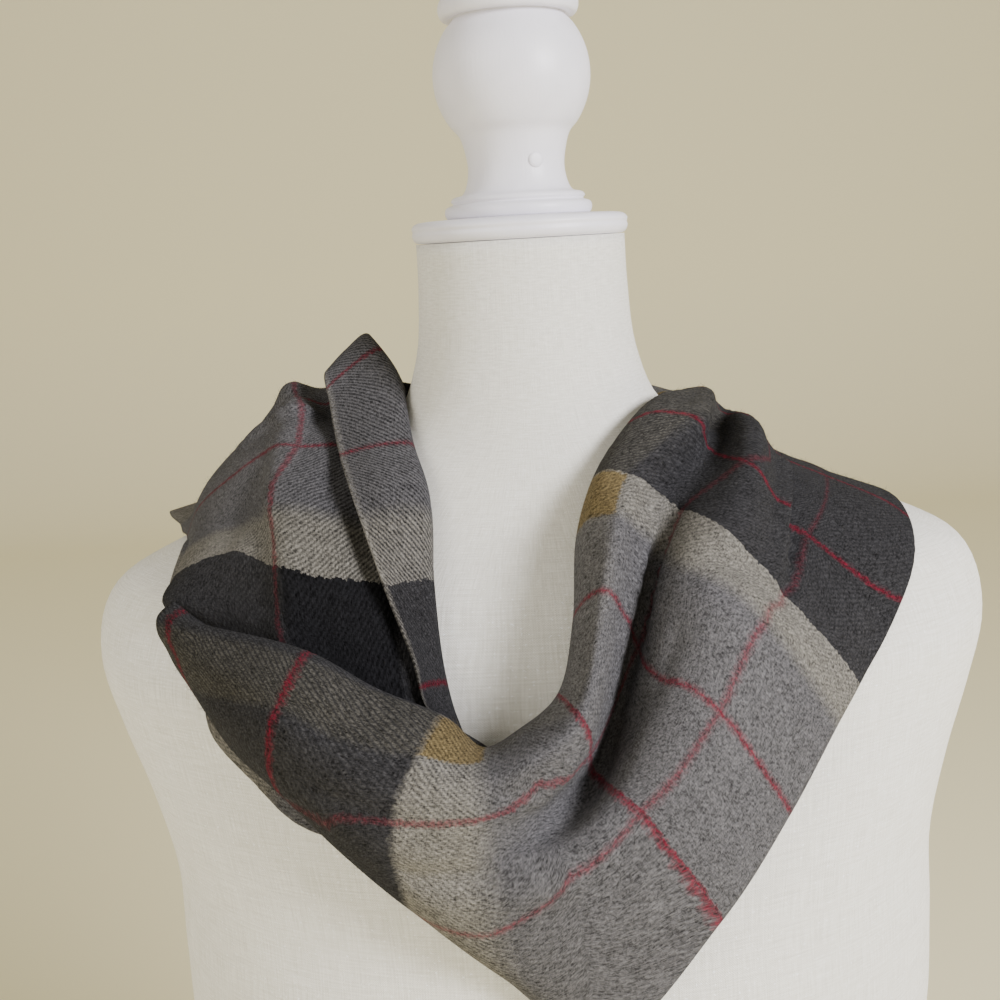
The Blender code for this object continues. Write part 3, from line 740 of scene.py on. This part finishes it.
def press_creases(grid, table, along, knots):
    """Move a sheet's points in or out along a table of creases."""
    normals = grid_normals(grid)
    height = np.zeros(grid.shape[:2])
    for row_a, line_a, row_b, line_b, rise, half_width in table:
        shares = np.linspace(0, 1, 25)
        near = slice(max(int((row_a - 1) * along), 0), int((row_b + 1) * along) + 1)
        rows = np.clip(np.round((row_a + (row_b - row_a) * shares) * along), 0, len(grid) - 1).astype(int)
        lines = np.interp(line_a + (line_b - line_a) * shares, range(len(knots)), knots)
        path = grid[rows, np.round(lines).astype(int)]
        gaps = np.linalg.norm(grid[near, :, None] - path[None, None], axis=3)
        fade = np.sin(math.pi * np.clip(shares[gaps.argmin(axis=2)], 0.02, 0.98)) ** 0.7
        height[near] += rise * fade * np.exp(-(gaps.min(axis=2) / half_width) ** 2)
    return grid + normals * height[..., None]


line_columns = [column_of(line) for line in LINES]
scarf_grid = press_creases(scarf_grid, CREASES, ALONG, line_columns)
print("creases pressed:", len(CREASES))

# %% [markdown]
# ## Settling the cloth on the form
#
# Cloth that lies on a body can't dip into it. Every point that comes nearer to the cover than
# the cloth's own room is moved out along the body's normal, which is what resting on it does.
# Where the scarf lies over its own inner end, it gets room for both layers.

# %% Settle
def settle(grid, room, tree, lay=False):
    """Move a sheet's points out of a body, or, with lay, onto it, room millimetres from its skin."""
    for i in range(grid.shape[0]):
        for j in range(grid.shape[1]):
            place = Vector(grid[i, j] * MM)
            nearest, normal, _, distance = tree.find_nearest(place)
            depth = distance / MM if (place - nearest).dot(normal) > 0 else -distance / MM
            if lay or depth < room[i]:
                grid[i, j] += np.array(normal) * (room[i] - depth)
    return grid


SPARE_ROOM = 0.2
room = at_rows([station[1] for station in STATIONS]) + SPARE_ROOM
scarf_grid = settle(scarf_grid, room, cover_tree)
print("scarf settled,", scarf_grid.size // 3, "points")

# %% [markdown]
# ## A thin shell of cloth
#
# A render needs the cloth to have both faces and an edge, so each sheet is a closed shell: the
# grid moved out by half a thickness, the grid moved in, and a narrow wall round the border. Each
# point keeps its woven coordinates in a UV map and its nap in an attribute, so that one material
# serves every sheet.

# %% Shells
SHELL_THICKNESS = 1.5
# how thickly loose fibres grow on the outer and the inner skin
FIBRE_SHARES = (1.0, 0.25)


def shell(name, grid, across, along, nap):
    """A closed sheet of cloth with its woven coordinates and its nap."""
    rows, columns = grid.shape[:2]
    below = rows * columns
    index = np.arange(below).reshape(rows, columns)
    a, b = index[:-1, :-1].ravel(), index[:-1, 1:].ravel()
    c, d = index[1:, 1:].ravel(), index[1:, :-1].ravel()
    border = np.concatenate([index[0, :], index[1:, -1], index[-1, -2::-1], index[-2:0:-1, 0]])
    ahead = np.roll(border, -1)
    faces = np.concatenate([np.stack([a, b, c, d], 1), np.stack([c, b, a, d], 1) + below,
                            np.stack([ahead, border, below + border, below + ahead], 1)])
    out = grid_normals(grid) * SHELL_THICKNESS / 2
    points = np.concatenate([(grid + out).reshape(-1, 3), (grid - out).reshape(-1, 3)]) * MM
    mesh = bpy.data.meshes.new(name)
    mesh.from_pydata(points.tolist(), [], faces.tolist())
    woven = np.tile(np.stack([across.ravel(), along.ravel()], 1), (2, 1))
    corners = np.empty(len(mesh.loops), int)
    mesh.loops.foreach_get("vertex_index", corners)
    mesh.uv_layers.new(name="weave").data.foreach_set("uv", woven[corners].astype(np.float32).ravel())
    for key, values in (("nap", np.tile(nap.ravel(), 2)), ("outer_skin", np.repeat(FIBRE_SHARES, below))):
        mesh.attributes.new(key, "FLOAT", "POINT").data.foreach_set("value", values.astype(np.float32))
    mesh.shade_smooth()
    obj = into_scene(name, mesh)
    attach(obj, "root")
    return obj


scarf = shell("scarf_cloth", scarf_grid, woven_across, woven_along, brushed)
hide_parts("scarf_front", "scarf_right_shoulder", "scarf_back", "scarf_left_shoulder")
print("scarf cloth:", len(scarf.data.polygons), "faces")

# %% [markdown]
# ## The turned-over edge and the inner end
#
# On the left shoulder the neck edge is folded outward into a narrow lapel, which shows the clear
# twill of the cloth's other face and ends in the woven selvedge. The scarf's inner end lies on
# the chest under the front roll, and its hem peeks out below. Both are small sheets with their
# own lattices.

# %% Lapel and tail
LAPEL_STATIONS = (
    # name, then the selvedge, the middle, the fold and the little that shows behind it
    ("behind_peak", (-74, 33, 650), (-70, 32, 654), (-65, 31, 653), (-62, 31, 647)),
    ("peak", (-87, 0, 648), (-79, 12, 656), (-70, 22, 662), (-67, 24, 656)),
    ("line_one", (-84, -18, 637), (-72, -9, 644), (-58, 0, 648), (-55, 3, 642)),
    ("line_two", (-78, -46, 620), (-64, -47, 623), (-49, -44, 622), (-50, -42, 616)),
    ("pale_band", (-72, -65, 606), (-58, -65, 609), (-44, -61, 607), (-43, -59, 601)),
    ("dark_boundary", (-60, -91, 577), (-52, -87, 577), (-43, -80, 575), (-43, -77, 569)),
    ("pocket", (-50, -103, 551), (-46, -99, 551), (-41, -93, 550), (-41, -90, 545)),
    ("hidden_end", (-47, -108, 537), (-43, -107, 537), (-38, -104, 535), (-37, -102, 531)),
    ("tip", (-41, -109, 528), (-39, -108, 527), (-35, -106, 525), (-34, -104, 522)),
)
LAPEL_ALONG = (-440, -455, -484, -519, -548, -580, -605, -624, -640)
TAIL_STATIONS = (
    # name, then the upper edge, the middle and the lower edge
    ("shoulder", (-112, -62, 582), (-124, -64, 566), (-133, -67, 548)),
    ("corner", (-104, -74, 571), (-120, -78, 544), (-134, -79, 518)),
    ("pale_strip", (-88, -84, 560), (-103, -90, 530), (-118, -95, 501)),
    ("frayed_corner", (-72, -92, 548), (-88, -98, 518), (-103, -103, 489)),
    ("middle", (-52, -100, 534), (-64, -107, 506), (-75, -112, 480)),
    ("vee", (-30, -104, 520), (-38, -112, 490), (-47, -118, 462)),
    ("end", (-16, -106, 510), (-20, -116, 475), (-26, -126, 440)),
)
TAIL_ALONG = (572, 582, 597, 612, 640, 670, 700)
STRIP_ALONG = 12
LAPEL_NAP = 0.06
TAIL_NAP = 0.7


def strip(stations, woven_rows, woven_columns, across_steps, nap):
    """The grid of a small sheet with its woven coordinates and nap."""
    grid = smooth_sheet(np.array([s[1:] for s in stations], float), STRIP_ALONG, across_steps)
    along = np.interp(np.arange(len(grid)), np.arange(len(stations)) * STRIP_ALONG, woven_rows)
    knots = np.concatenate([[0], np.cumsum(across_steps)])
    across = np.interp(np.arange(grid.shape[1]), knots, woven_columns)
    shape = grid.shape[:2]
    return (grid, np.broadcast_to(across, shape).copy(), np.repeat(along[:, None], shape[1], axis=1),
            np.full(shape, nap))


lapel_grid, lapel_across, lapel_along, lapel_nap = strip(
    LAPEL_STATIONS, LAPEL_ALONG, (300, 284, 268, 261), (12, 12, 8), LAPEL_NAP)
lapel_grid = settle(lapel_grid, np.full(len(lapel_grid), ON_FORM), cover_tree)
lapel = shell("scarf_lapel", lapel_grid, lapel_across, lapel_along, lapel_nap)
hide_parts("scarf_left_lapel")

tail_grid, tail_across, tail_along, tail_nap = strip(
    TAIL_STATIONS, TAIL_ALONG, (150, 108, 62), (22, 22), TAIL_NAP)
tail_grid = settle(tail_grid, np.full(len(tail_grid), ON_FORM), cover_tree, lay=True)
tail = shell("scarf_inner_end", tail_grid, tail_across, tail_along, tail_nap)
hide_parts("scarf_tail")
print("lapel and inner end:", len(lapel.data.polygons) + len(tail.data.polygons), "faces")

# %% [markdown]
# ## The wool
#
# The scarf is a two-and-two twill of fine wool, brushed on one face. Three things make its look:
#
# - The check. A colour stands for each yarn: bands along the scarf come from the warp, bands
#   across it from the weft, and where they cross the eye sees the mix of both.
# - The twill. Each row of floats steps one thread to the side, which draws slanting ribs. On a
#   rib the warp or the weft lies on top, so the ribs are strongest where the two differ in
#   colour, as dark grey and cream do.
# - The nap. Brushing lifts weft fibres over the ribs and blurs them. So where the nap attribute
#   is high the ribs fade, the weft colour wins, and the lines of the warp turn faint.
#
# A colour ramp holds one repeat of it each way.

# %% Yarn colours and bands
YARNS = {
    # the near-black warp yarn beside the lapel is painted shade, not a yarn of the scarf: it darkens the
    # pocket under the lapel
    "grey": "#525153", "charcoal": "#18181a", "cream": "#6d6a63", "sand": "#6b6861", "pocket_shade": "#101011",
    "wine": "#5e0a20", "camel": "#665839", "selvedge": "#97938c",
}
WEFT_REPEAT = 290.0
# Each band: where it starts, its yarn and, where yarns of two tones are mixed at its start, over how much
WEFT_BANDS = ((0, "cream", 0.5), (23, "grey", 3.5), (147, "cream", 4.5), (171, "charcoal", 0.5))
WEFT_LINES = (60, 108, 206, 254)
WARP_WIDTH = 300.0
# the near-black warp band from 220 to 262 across is painted shade for the pocket under the lapel and the
# shaded cloth beside it
WARP_BANDS = ((0, "grey", 0.5), (105, "sand", 1.5), (128, "grey", 1.5), (220, "pocket_shade", 1.5),
              (262, "grey", 1.5), (297.6, "selvedge", 0.5))
WARP_LINES = (37.5, 82.5, 217.5)
RED_HALF_WIDTH = 1.0
# Where the yarns that the mixing has to know lie, from start to end
CREAM_SPANS = ((0.6, 23), (147, 171))
CHARCOAL_SPANS = ((171, 289.6),)
SAND_SPANS = ((105, 128),)
MASK_EDGE = 0.5
TWILL_PITCH = 1.5
# How far a yarn strays from its straight course and a rib sways, in millimetres
STRAY = (3.6, 3.6, 0)
RIB_SWAY = 1.6
# The weft's share of what shows: on clear cloth, more where the nap is raised, and the ribs' part
WEFT_SHARE = 0.6
WEFT_IN_NAP = 0.22
WEFT_ON_RIBS = 0.36
# The darkest that a yarn gets
LEAST_BRIGHTNESS = 0.12


def ramp_stops(tree, position, level_at, length):
    """A colour ramp whose stops are (place in mm, colour) pairs."""
    node = add_node(tree, "ShaderNodeValToRGB", (position,))
    stops = node.color_ramp.elements
    stops[0].position, stops[0].color = 0.0, level_at[0][1]
    stops[1].position, stops[1].color = 1.0, level_at[-1][1]
    for place, colour in level_at:
        stops.new(place / length).color = colour
    return node.outputs[0]


def band_ramp(tree, position, bands, length):
    """The colour of the yarn at each place: bands with soft edges."""
    level_at = []
    for (_, before, _), (edge, after, mixed) in zip(bands, bands[1:]):
        level_at += [(edge - mixed, linear(YARNS[before])), (edge + mixed, linear(YARNS[after]))]
    return ramp_stops(tree, position, level_at, length)


def mask_ramp(tree, position, spans, length):
    """White on each span from start to end and black between them."""
    black, white = (0, 0, 0, 1), (1, 1, 1, 1)
    level_at = []
    for start, end in spans:
        level_at += [(max(start - MASK_EDGE, 0), black), (start + MASK_EDGE, white),
                     (end - MASK_EDGE, white), (end + MASK_EDGE, black)]
    return ramp_stops(tree, position, level_at, length)


def red_lines(tree, position, lines, length):
    """White on the thin red lines of one way of the cloth."""
    spans = [(line - RED_HALF_WIDTH, line + RED_HALF_WIDTH) for line in lines]
    return mask_ramp(tree, position, spans, length)


print("yarns:", ", ".join(YARNS))


# %% The wool's material
def brushed_twill(name):
    """Brushed wool twill in a block check."""
    material, tree, shader = new_material(name)

    def cloud(stretch, low, high, detail=3.0):
        """Noise in the cloth's own millimetres, stretched, and spread from 0 to 1."""
        way = add_node(tree, "ShaderNodeMapping", {"Vector": woven, "Scale": stretch})
        puffs = add_node(tree, NOISE, {"Vector": way, "Scale": 1.0, "Detail": detail,
                                       "Roughness": 0.62, "Distortion": 0.7})
        return add_node(tree, "ShaderNodeMapRange", {"Value": puffs, "From Min": low, "From Max": high})

    woven = add_node(tree, "ShaderNodeAttribute", attribute_name="weave").outputs["Vector"]
    nap = add_node(tree, "ShaderNodeAttribute", attribute_name="nap").outputs["Fac"]
    raised = add_node(tree, MATH, (nap, 0.9), operation="MULTIPLY")
    clear = add_node(tree, MATH, (1.0, raised), operation="SUBTRACT")
    wander = add_node(tree, NOISE, {"Vector": woven, "Scale": 0.7, "Detail": 5.0})
    drift = add_node(tree, "ShaderNodeVectorMath", (wander.outputs["Color"], (0.5, 0.5, 0.5)),
                     operation="SUBTRACT")
    moved = add_node(tree, "ShaderNodeVectorMath", (drift, STRAY, woven), operation="MULTIPLY_ADD")
    place = add_node(tree, "ShaderNodeSeparateXYZ", (moved,)).outputs
    repeated = add_node(tree, MATH, (place[1], WEFT_REPEAT), operation="FLOORED_MODULO")
    weft_at = add_node(tree, MATH, (repeated, WEFT_REPEAT), operation="DIVIDE")
    warp_at = add_node(tree, MATH, (place[0], WARP_WIDTH), operation="DIVIDE")

    # ribs at 45 degrees, broken into floats, which fade where the nap is raised
    straight = add_node(tree, "ShaderNodeSeparateXYZ", (woven,)).outputs
    slant = add_node(tree, MATH, (straight[0], straight[1]), operation="SUBTRACT")
    sway = add_node(tree, MATH, (wander, RIB_SWAY, slant), operation="MULTIPLY_ADD")
    phase = add_node(tree, MATH, (sway, 2 * math.pi / (TWILL_PITCH * math.sqrt(2))), operation="MULTIPLY")
    rib = add_node(tree, MATH, (phase,), operation="SINE")
    clear_rib = add_node(tree, MATH, (rib, clear), operation="MULTIPLY")
    floats = add_node(tree, MATH, (cloud((0.9, 0.9, 1.0), 0.3, 0.7), 0.7, 0.6), operation="MULTIPLY_ADD")
    ribs = add_node(tree, MATH, (clear_rib, floats), operation="MULTIPLY")

    # the nap is made of weft, so the weft covers more where the nap is raised
    in_nap = add_node(tree, MATH, (nap, WEFT_IN_NAP, WEFT_SHARE), operation="MULTIPLY_ADD")
    on_ribs = add_node(tree, MATH, (ribs, WEFT_ON_RIBS), operation="MULTIPLY")
    share = add_node(tree, MATH, (in_nap, on_ribs), operation="ADD")
    warp = band_ramp(tree, warp_at, WARP_BANDS, WARP_WIDTH)
    weft = band_ramp(tree, weft_at, WEFT_BANDS, WEFT_REPEAT)
    crossed = add_node(tree, MIX, {0: share, 6: warp, 7: weft}, data_type="RGBA").outputs[2]
    on_cream = mask_ramp(tree, weft_at, CREAM_SPANS, WEFT_REPEAT)
    on_sand = mask_ramp(tree, warp_at, SAND_SPANS, WARP_WIDTH)
    on_both = add_node(tree, MATH, (on_cream, on_sand), operation="MULTIPLY")
    tinted = add_node(tree, MATH, (on_both, 0.9), operation="MULTIPLY")
    body = add_node(tree, MIX, {0: tinted, 6: crossed, 7: linear(YARNS["camel"])},
                    data_type="RGBA").outputs[2]

    # a red weft lies over all, a red warp sinks in the nap and in the charcoal
    fibres = cloud((1.7, 0.6, 1.0), 0.4, 0.6, 4.0)
    crossing = cloud((0.8, 1.8, 1.0), 0.4, 0.6)
    on_charcoal = mask_ramp(tree, weft_at, CHARCOAL_SPANS, WEFT_REPEAT)
    through_nap = add_node(tree, MATH, (nap, -0.2, 0.9), operation="MULTIPLY_ADD")
    through_charcoal = add_node(tree, MATH, (on_charcoal, -0.45, 1.0), operation="MULTIPLY_ADD")
    seen = add_node(tree, MATH, (through_nap, through_charcoal), operation="MULTIPLY")
    red_warp = red_lines(tree, warp_at, WARP_LINES, WARP_WIDTH)
    faint = add_node(tree, MATH, (red_warp, seen), operation="MULTIPLY")
    strong = red_lines(tree, weft_at, WEFT_LINES, WEFT_REPEAT)
    either = add_node(tree, MATH, (strong, faint), operation="MAXIMUM")
    covered = add_node(tree, MATH, (crossing, 0.5, 0.45), operation="MULTIPLY_ADD")
    red = add_node(tree, MATH, (either, covered), operation="MULTIPLY")
    checked = add_node(tree, MIX, {0: red, 6: body, 7: linear(YARNS["wine"])},
                       data_type="RGBA").outputs[2]

    # fibres, tufts and slow patches make the yarn lighter and darker; the ribs darken their valleys, which
    # is painted shade; raised nap catches more light
    patches = add_node(tree, MATH, (cloud((0.05, 0.05, 0.05), 0.3, 0.7), 0.15), operation="MULTIPLY")
    tufts = add_node(tree, MATH, (cloud((0.32, 0.32, 0.3), 0.3, 0.7), 0.4, patches),
                     operation="MULTIPLY_ADD")
    crossings = add_node(tree, MATH, (crossing, 0.55, tufts), operation="MULTIPLY_ADD")
    single = add_node(tree, MATH, (fibres, 0.7, 0.1), operation="MULTIPLY_ADD")
    mottle = add_node(tree, MATH, (single, crossings), operation="ADD")
    # painted shade in the valleys between the ribs, added to the yarn's own mottle
    mottle_and_rib_shade = add_node(tree, MATH, (ribs, 0.5, mottle), operation="MULTIPLY_ADD")
    catches = add_node(tree, MATH, (nap, 0.35, 0.72), operation="MULTIPLY_ADD")
    caught = add_node(tree, MATH, (mottle_and_rib_shade, catches), operation="MULTIPLY")
    brightness = add_node(tree, MATH, (caught, LEAST_BRIGHTNESS), operation="MAXIMUM")
    colour = add_node(tree, "ShaderNodeVectorMath", {0: checked, 3: brightness}, operation="SCALE")
    tree.links.new(colour.outputs[0], shader.inputs["Base Color"])

    raised_yarn = add_node(tree, MATH, (crossing, 0.3, fibres), operation="MULTIPLY_ADD")
    height = add_node(tree, MATH, (ribs, 0.35, raised_yarn), operation="MULTIPLY_ADD")
    relief = add_node(tree, "ShaderNodeBump", {"Height": height, "Strength": 0.5, "Distance": 0.0005})
    tree.links.new(relief.outputs[0], shader.inputs["Normal"])
    for key, value in (("Roughness", 0.95), ("Specular IOR Level", 0.05), ("Sheen Weight", 0.02),
                       ("Sheen Roughness", 0.5)):
        shader.inputs[key].default_value = value
    return material


wool = brushed_twill("brushed wool, two-and-two twill")
for sheet in (scarf, tail, lapel):
    sheet.data.materials.append(wool)
print("twill ribs every", TWILL_PITCH, "mm")

# %% [markdown]
# ## Loose fibres
#
# Brushed wool has a halo: fibres a few millimetres long that stand off the surface and blur its
# outline. Each is a thin cone of eight faces with a bend, and a Geometry Nodes tree scatters them
# over a copy of the cloth, lays them over at random and makes them real. They carry the woven
# coordinates of the spot where they grow, so that they take the check's colour there.

# %% Fibre tree
FIBRE_DENSITY = 90000.0
LAPEL_FIBRE_DENSITY = 40000.0
# one fibre, in metres, and how strongly it curls
FIBRE_LENGTH = 0.0024
FIBRE_RADIUS = 0.00004
FIBRE_TIP = 0.000004
FIBRE_CURL = 190.0


def fibre_tree():
    """A tree that grows bent fibres on a sheet."""
    tree = bpy.data.node_groups.new("loose wool fibres", "GeometryNodeTree")
    for name, kind, value in (("Geometry", "Geometry", None),
                              ("Fibres per square metre", "Float", FIBRE_DENSITY),
                              ("Length", "Float", FIBRE_LENGTH), ("Radius", "Float", FIBRE_RADIUS),
                              ("Seed", "Int", 3), ("Material", "Material", None)):
        socket = tree.interface.new_socket(name, in_out="INPUT", socket_type="NodeSocket" + kind)
        if value is not None:
            socket.default_value = value
    tree.interface.new_socket("Geometry", in_out="OUTPUT", socket_type="NodeSocketGeometry")
    given = add_node(tree, "NodeGroupInput").outputs
    cone = add_node(tree, "GeometryNodeMeshCone", {
        "Vertices": 3, "Side Segments": 2, "Radius Top": FIBRE_TIP, "Radius Bottom": given["Radius"],
        "Depth": given["Length"]})
    spot = add_node(tree, "GeometryNodeInputPosition")
    height = add_node(tree, "ShaderNodeSeparateXYZ", (spot,)).outputs[2]
    square = add_node(tree, MATH, (height, height), operation="MULTIPLY")
    curl = add_node(tree, MATH, (square, FIBRE_CURL), operation="MULTIPLY")
    push = add_node(tree, "ShaderNodeCombineXYZ", (curl,))
    bent = add_node(tree, "GeometryNodeSetPosition",
                    {"Geometry": cone.outputs["Mesh"], "Offset": push})
    skin = add_node(tree, "GeometryNodeInputNamedAttribute", {"Name": "outer_skin"}, data_type="FLOAT")
    density = add_node(tree, MATH, (skin.outputs["Attribute"], given["Fibres per square metre"]),
                       operation="MULTIPLY")
    points = add_node(tree, "GeometryNodeDistributePointsOnFaces", {
        "Mesh": given["Geometry"], "Density": density, "Seed": given["Seed"]})
    size = add_node(tree, "FunctionNodeRandomValue", {2: 0.45, 3: 1.3, "Seed": given["Seed"]},
                    data_type="FLOAT")
    grown = add_node(tree, "GeometryNodeInstanceOnPoints", {
        "Points": points.outputs["Points"], "Instance": bent,
        "Rotation": points.outputs["Rotation"], "Scale": size.outputs[1]})
    turn = add_node(tree, "FunctionNodeRandomValue", {0: (0.5, -0.4, 0.0), 1: (1.45, 0.4, 6.283)},
                    data_type="FLOAT_VECTOR")
    spun = add_node(tree, "ShaderNodeSeparateXYZ", (turn,)).outputs
    for parts in ({2: spun[2]}, {0: spun[0], 1: spun[1]}):
        way = add_node(tree, "ShaderNodeCombineXYZ", parts)
        grown = add_node(tree, "GeometryNodeRotateInstances", {0: grown, "Rotation": way})
    real = add_node(tree, "GeometryNodeRealizeInstances", (grown,))
    dyed = add_node(tree, "GeometryNodeSetMaterial", {0: real, "Material": given["Material"]})
    add_node(tree, "NodeGroupOutput", (dyed,))
    return tree


def grow(name, host, tree, settings):
    """A plain mesh of what a node tree grows on a copy of a piece."""
    obj = into_scene(name, host.data.copy())
    modifier = obj.modifiers.new("grow", "NODES")
    modifier.node_group = tree
    sockets = {item.name: item.identifier for item in tree.interface.items_tree if item.in_out == "INPUT"}
    for key, value in settings.items():
        modifier[sockets[key]] = value
    evaluated = obj.evaluated_get(bpy.context.evaluated_depsgraph_get())
    mesh = bpy.data.meshes.new_from_object(evaluated)
    obj.modifiers.remove(modifier)
    obj.data = mesh
    mesh.name = name
    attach(obj, "root")
    return obj


fibres = fibre_tree()
scarf_fuzz = grow("scarf_fuzz", scarf, fibres, {"Material": wool, "Seed": 3})
lapel_fuzz = grow("lapel_fuzz", lapel, fibres,
                  {"Material": wool, "Seed": 5, "Fibres per square metre": LAPEL_FIBRE_DENSITY})
tail_fuzz = grow("inner_end_fuzz", tail, fibres, {"Material": wool, "Seed": 7})
for piece, slot_name in ((scarf_fuzz, "scarf_front"), (lapel_fuzz, "scarf_left_lapel"),
                         (tail_fuzz, "scarf_tail")):
    print(piece.name, len(piece.data.polygons), "faces")

# %% [markdown]


# %% [markdown]
# ## A pale floor and soft light
#
# The floor is a plain pale sweep that curves up behind the form, so that no horizon line cuts
# the picture. Daylight comes from a window at the right front, above the form's shoulder, with
# a weak wide fill from the left. Large lamps give the soft shadows that the folds need.

# %% Stage and lights
FLOOR_COLOUR = "#fbf3cd"
FLOOR_BEND = 2.4
BEND_RADIUS = 0.6
FLOOR_HALF_WIDTH = 6.0
BACKDROP_TOP = 5.0
LAMPS = (
    # name, place in metres, side of the square, watts, colour
    ("window", (1.45, -1.30, 1.25), 0.7, 78, "#fbfaff"),
    ("fill", (-1.6, -1.4, 1.2), 1.6, 32, "#fdf8ee"),
)
LAMPS_LOOK_AT = (0, 0, 0.6)
SKY_COLOUR = "#f5efe0"
SKY_STRENGTH = 0.46


def sweep(name):
    """A floor that curves up into a backdrop."""
    profile = [(y, 0.0) for y in (-5.0, -1.0, 1.0, FLOOR_BEND)]
    profile += [(FLOOR_BEND + BEND_RADIUS * math.sin(a), BEND_RADIUS - BEND_RADIUS * math.cos(a))
                for a in np.linspace(0.15, math.pi / 2, 12)]
    profile.append((FLOOR_BEND + BEND_RADIUS, BACKDROP_TOP))
    points = [(x, y, z) for y, z in profile for x in (-FLOOR_HALF_WIDTH, FLOOR_HALF_WIDTH)]
    faces = [(2 * i, 2 * i + 1, 2 * i + 3, 2 * i + 2) for i in range(len(profile) - 1)]
    mesh = bpy.data.meshes.new(name)
    mesh.from_pydata(points, [], faces)
    mesh.shade_smooth()
    obj = into_scene(name, mesh)
    material, _, shader = new_material("pale floor paper")
    shader.inputs["Base Color"].default_value = linear(FLOOR_COLOUR)
    shader.inputs["Roughness"].default_value = 0.9
    mesh.materials.append(material)


def soft_lamp(name, place, size, power, colour):
    """A square area lamp that looks at the form."""
    lamp = bpy.data.lights.new(name, "AREA")
    lamp.shape = "SQUARE"
    lamp.size = size
    lamp.energy = power
    lamp.color = linear(colour)[:3]
    obj = into_scene(name, lamp)
    obj.location = place
    obj.rotation_euler = (Vector(LAMPS_LOOK_AT) - Vector(place)).to_track_quat("-Z", "Y").to_euler()


sweep("floor")
for lamp_row in LAMPS:
    soft_lamp(*lamp_row)
world = bpy.data.worlds.new("soft sky")
world.use_nodes = True
sky = world.node_tree.nodes["Background"].inputs
sky["Color"].default_value = linear(SKY_COLOUR)
sky["Strength"].default_value = SKY_STRENGTH
bpy.context.scene.world = world
print("lamps:", ", ".join(lamp_row[0] for lamp_row in LAMPS))
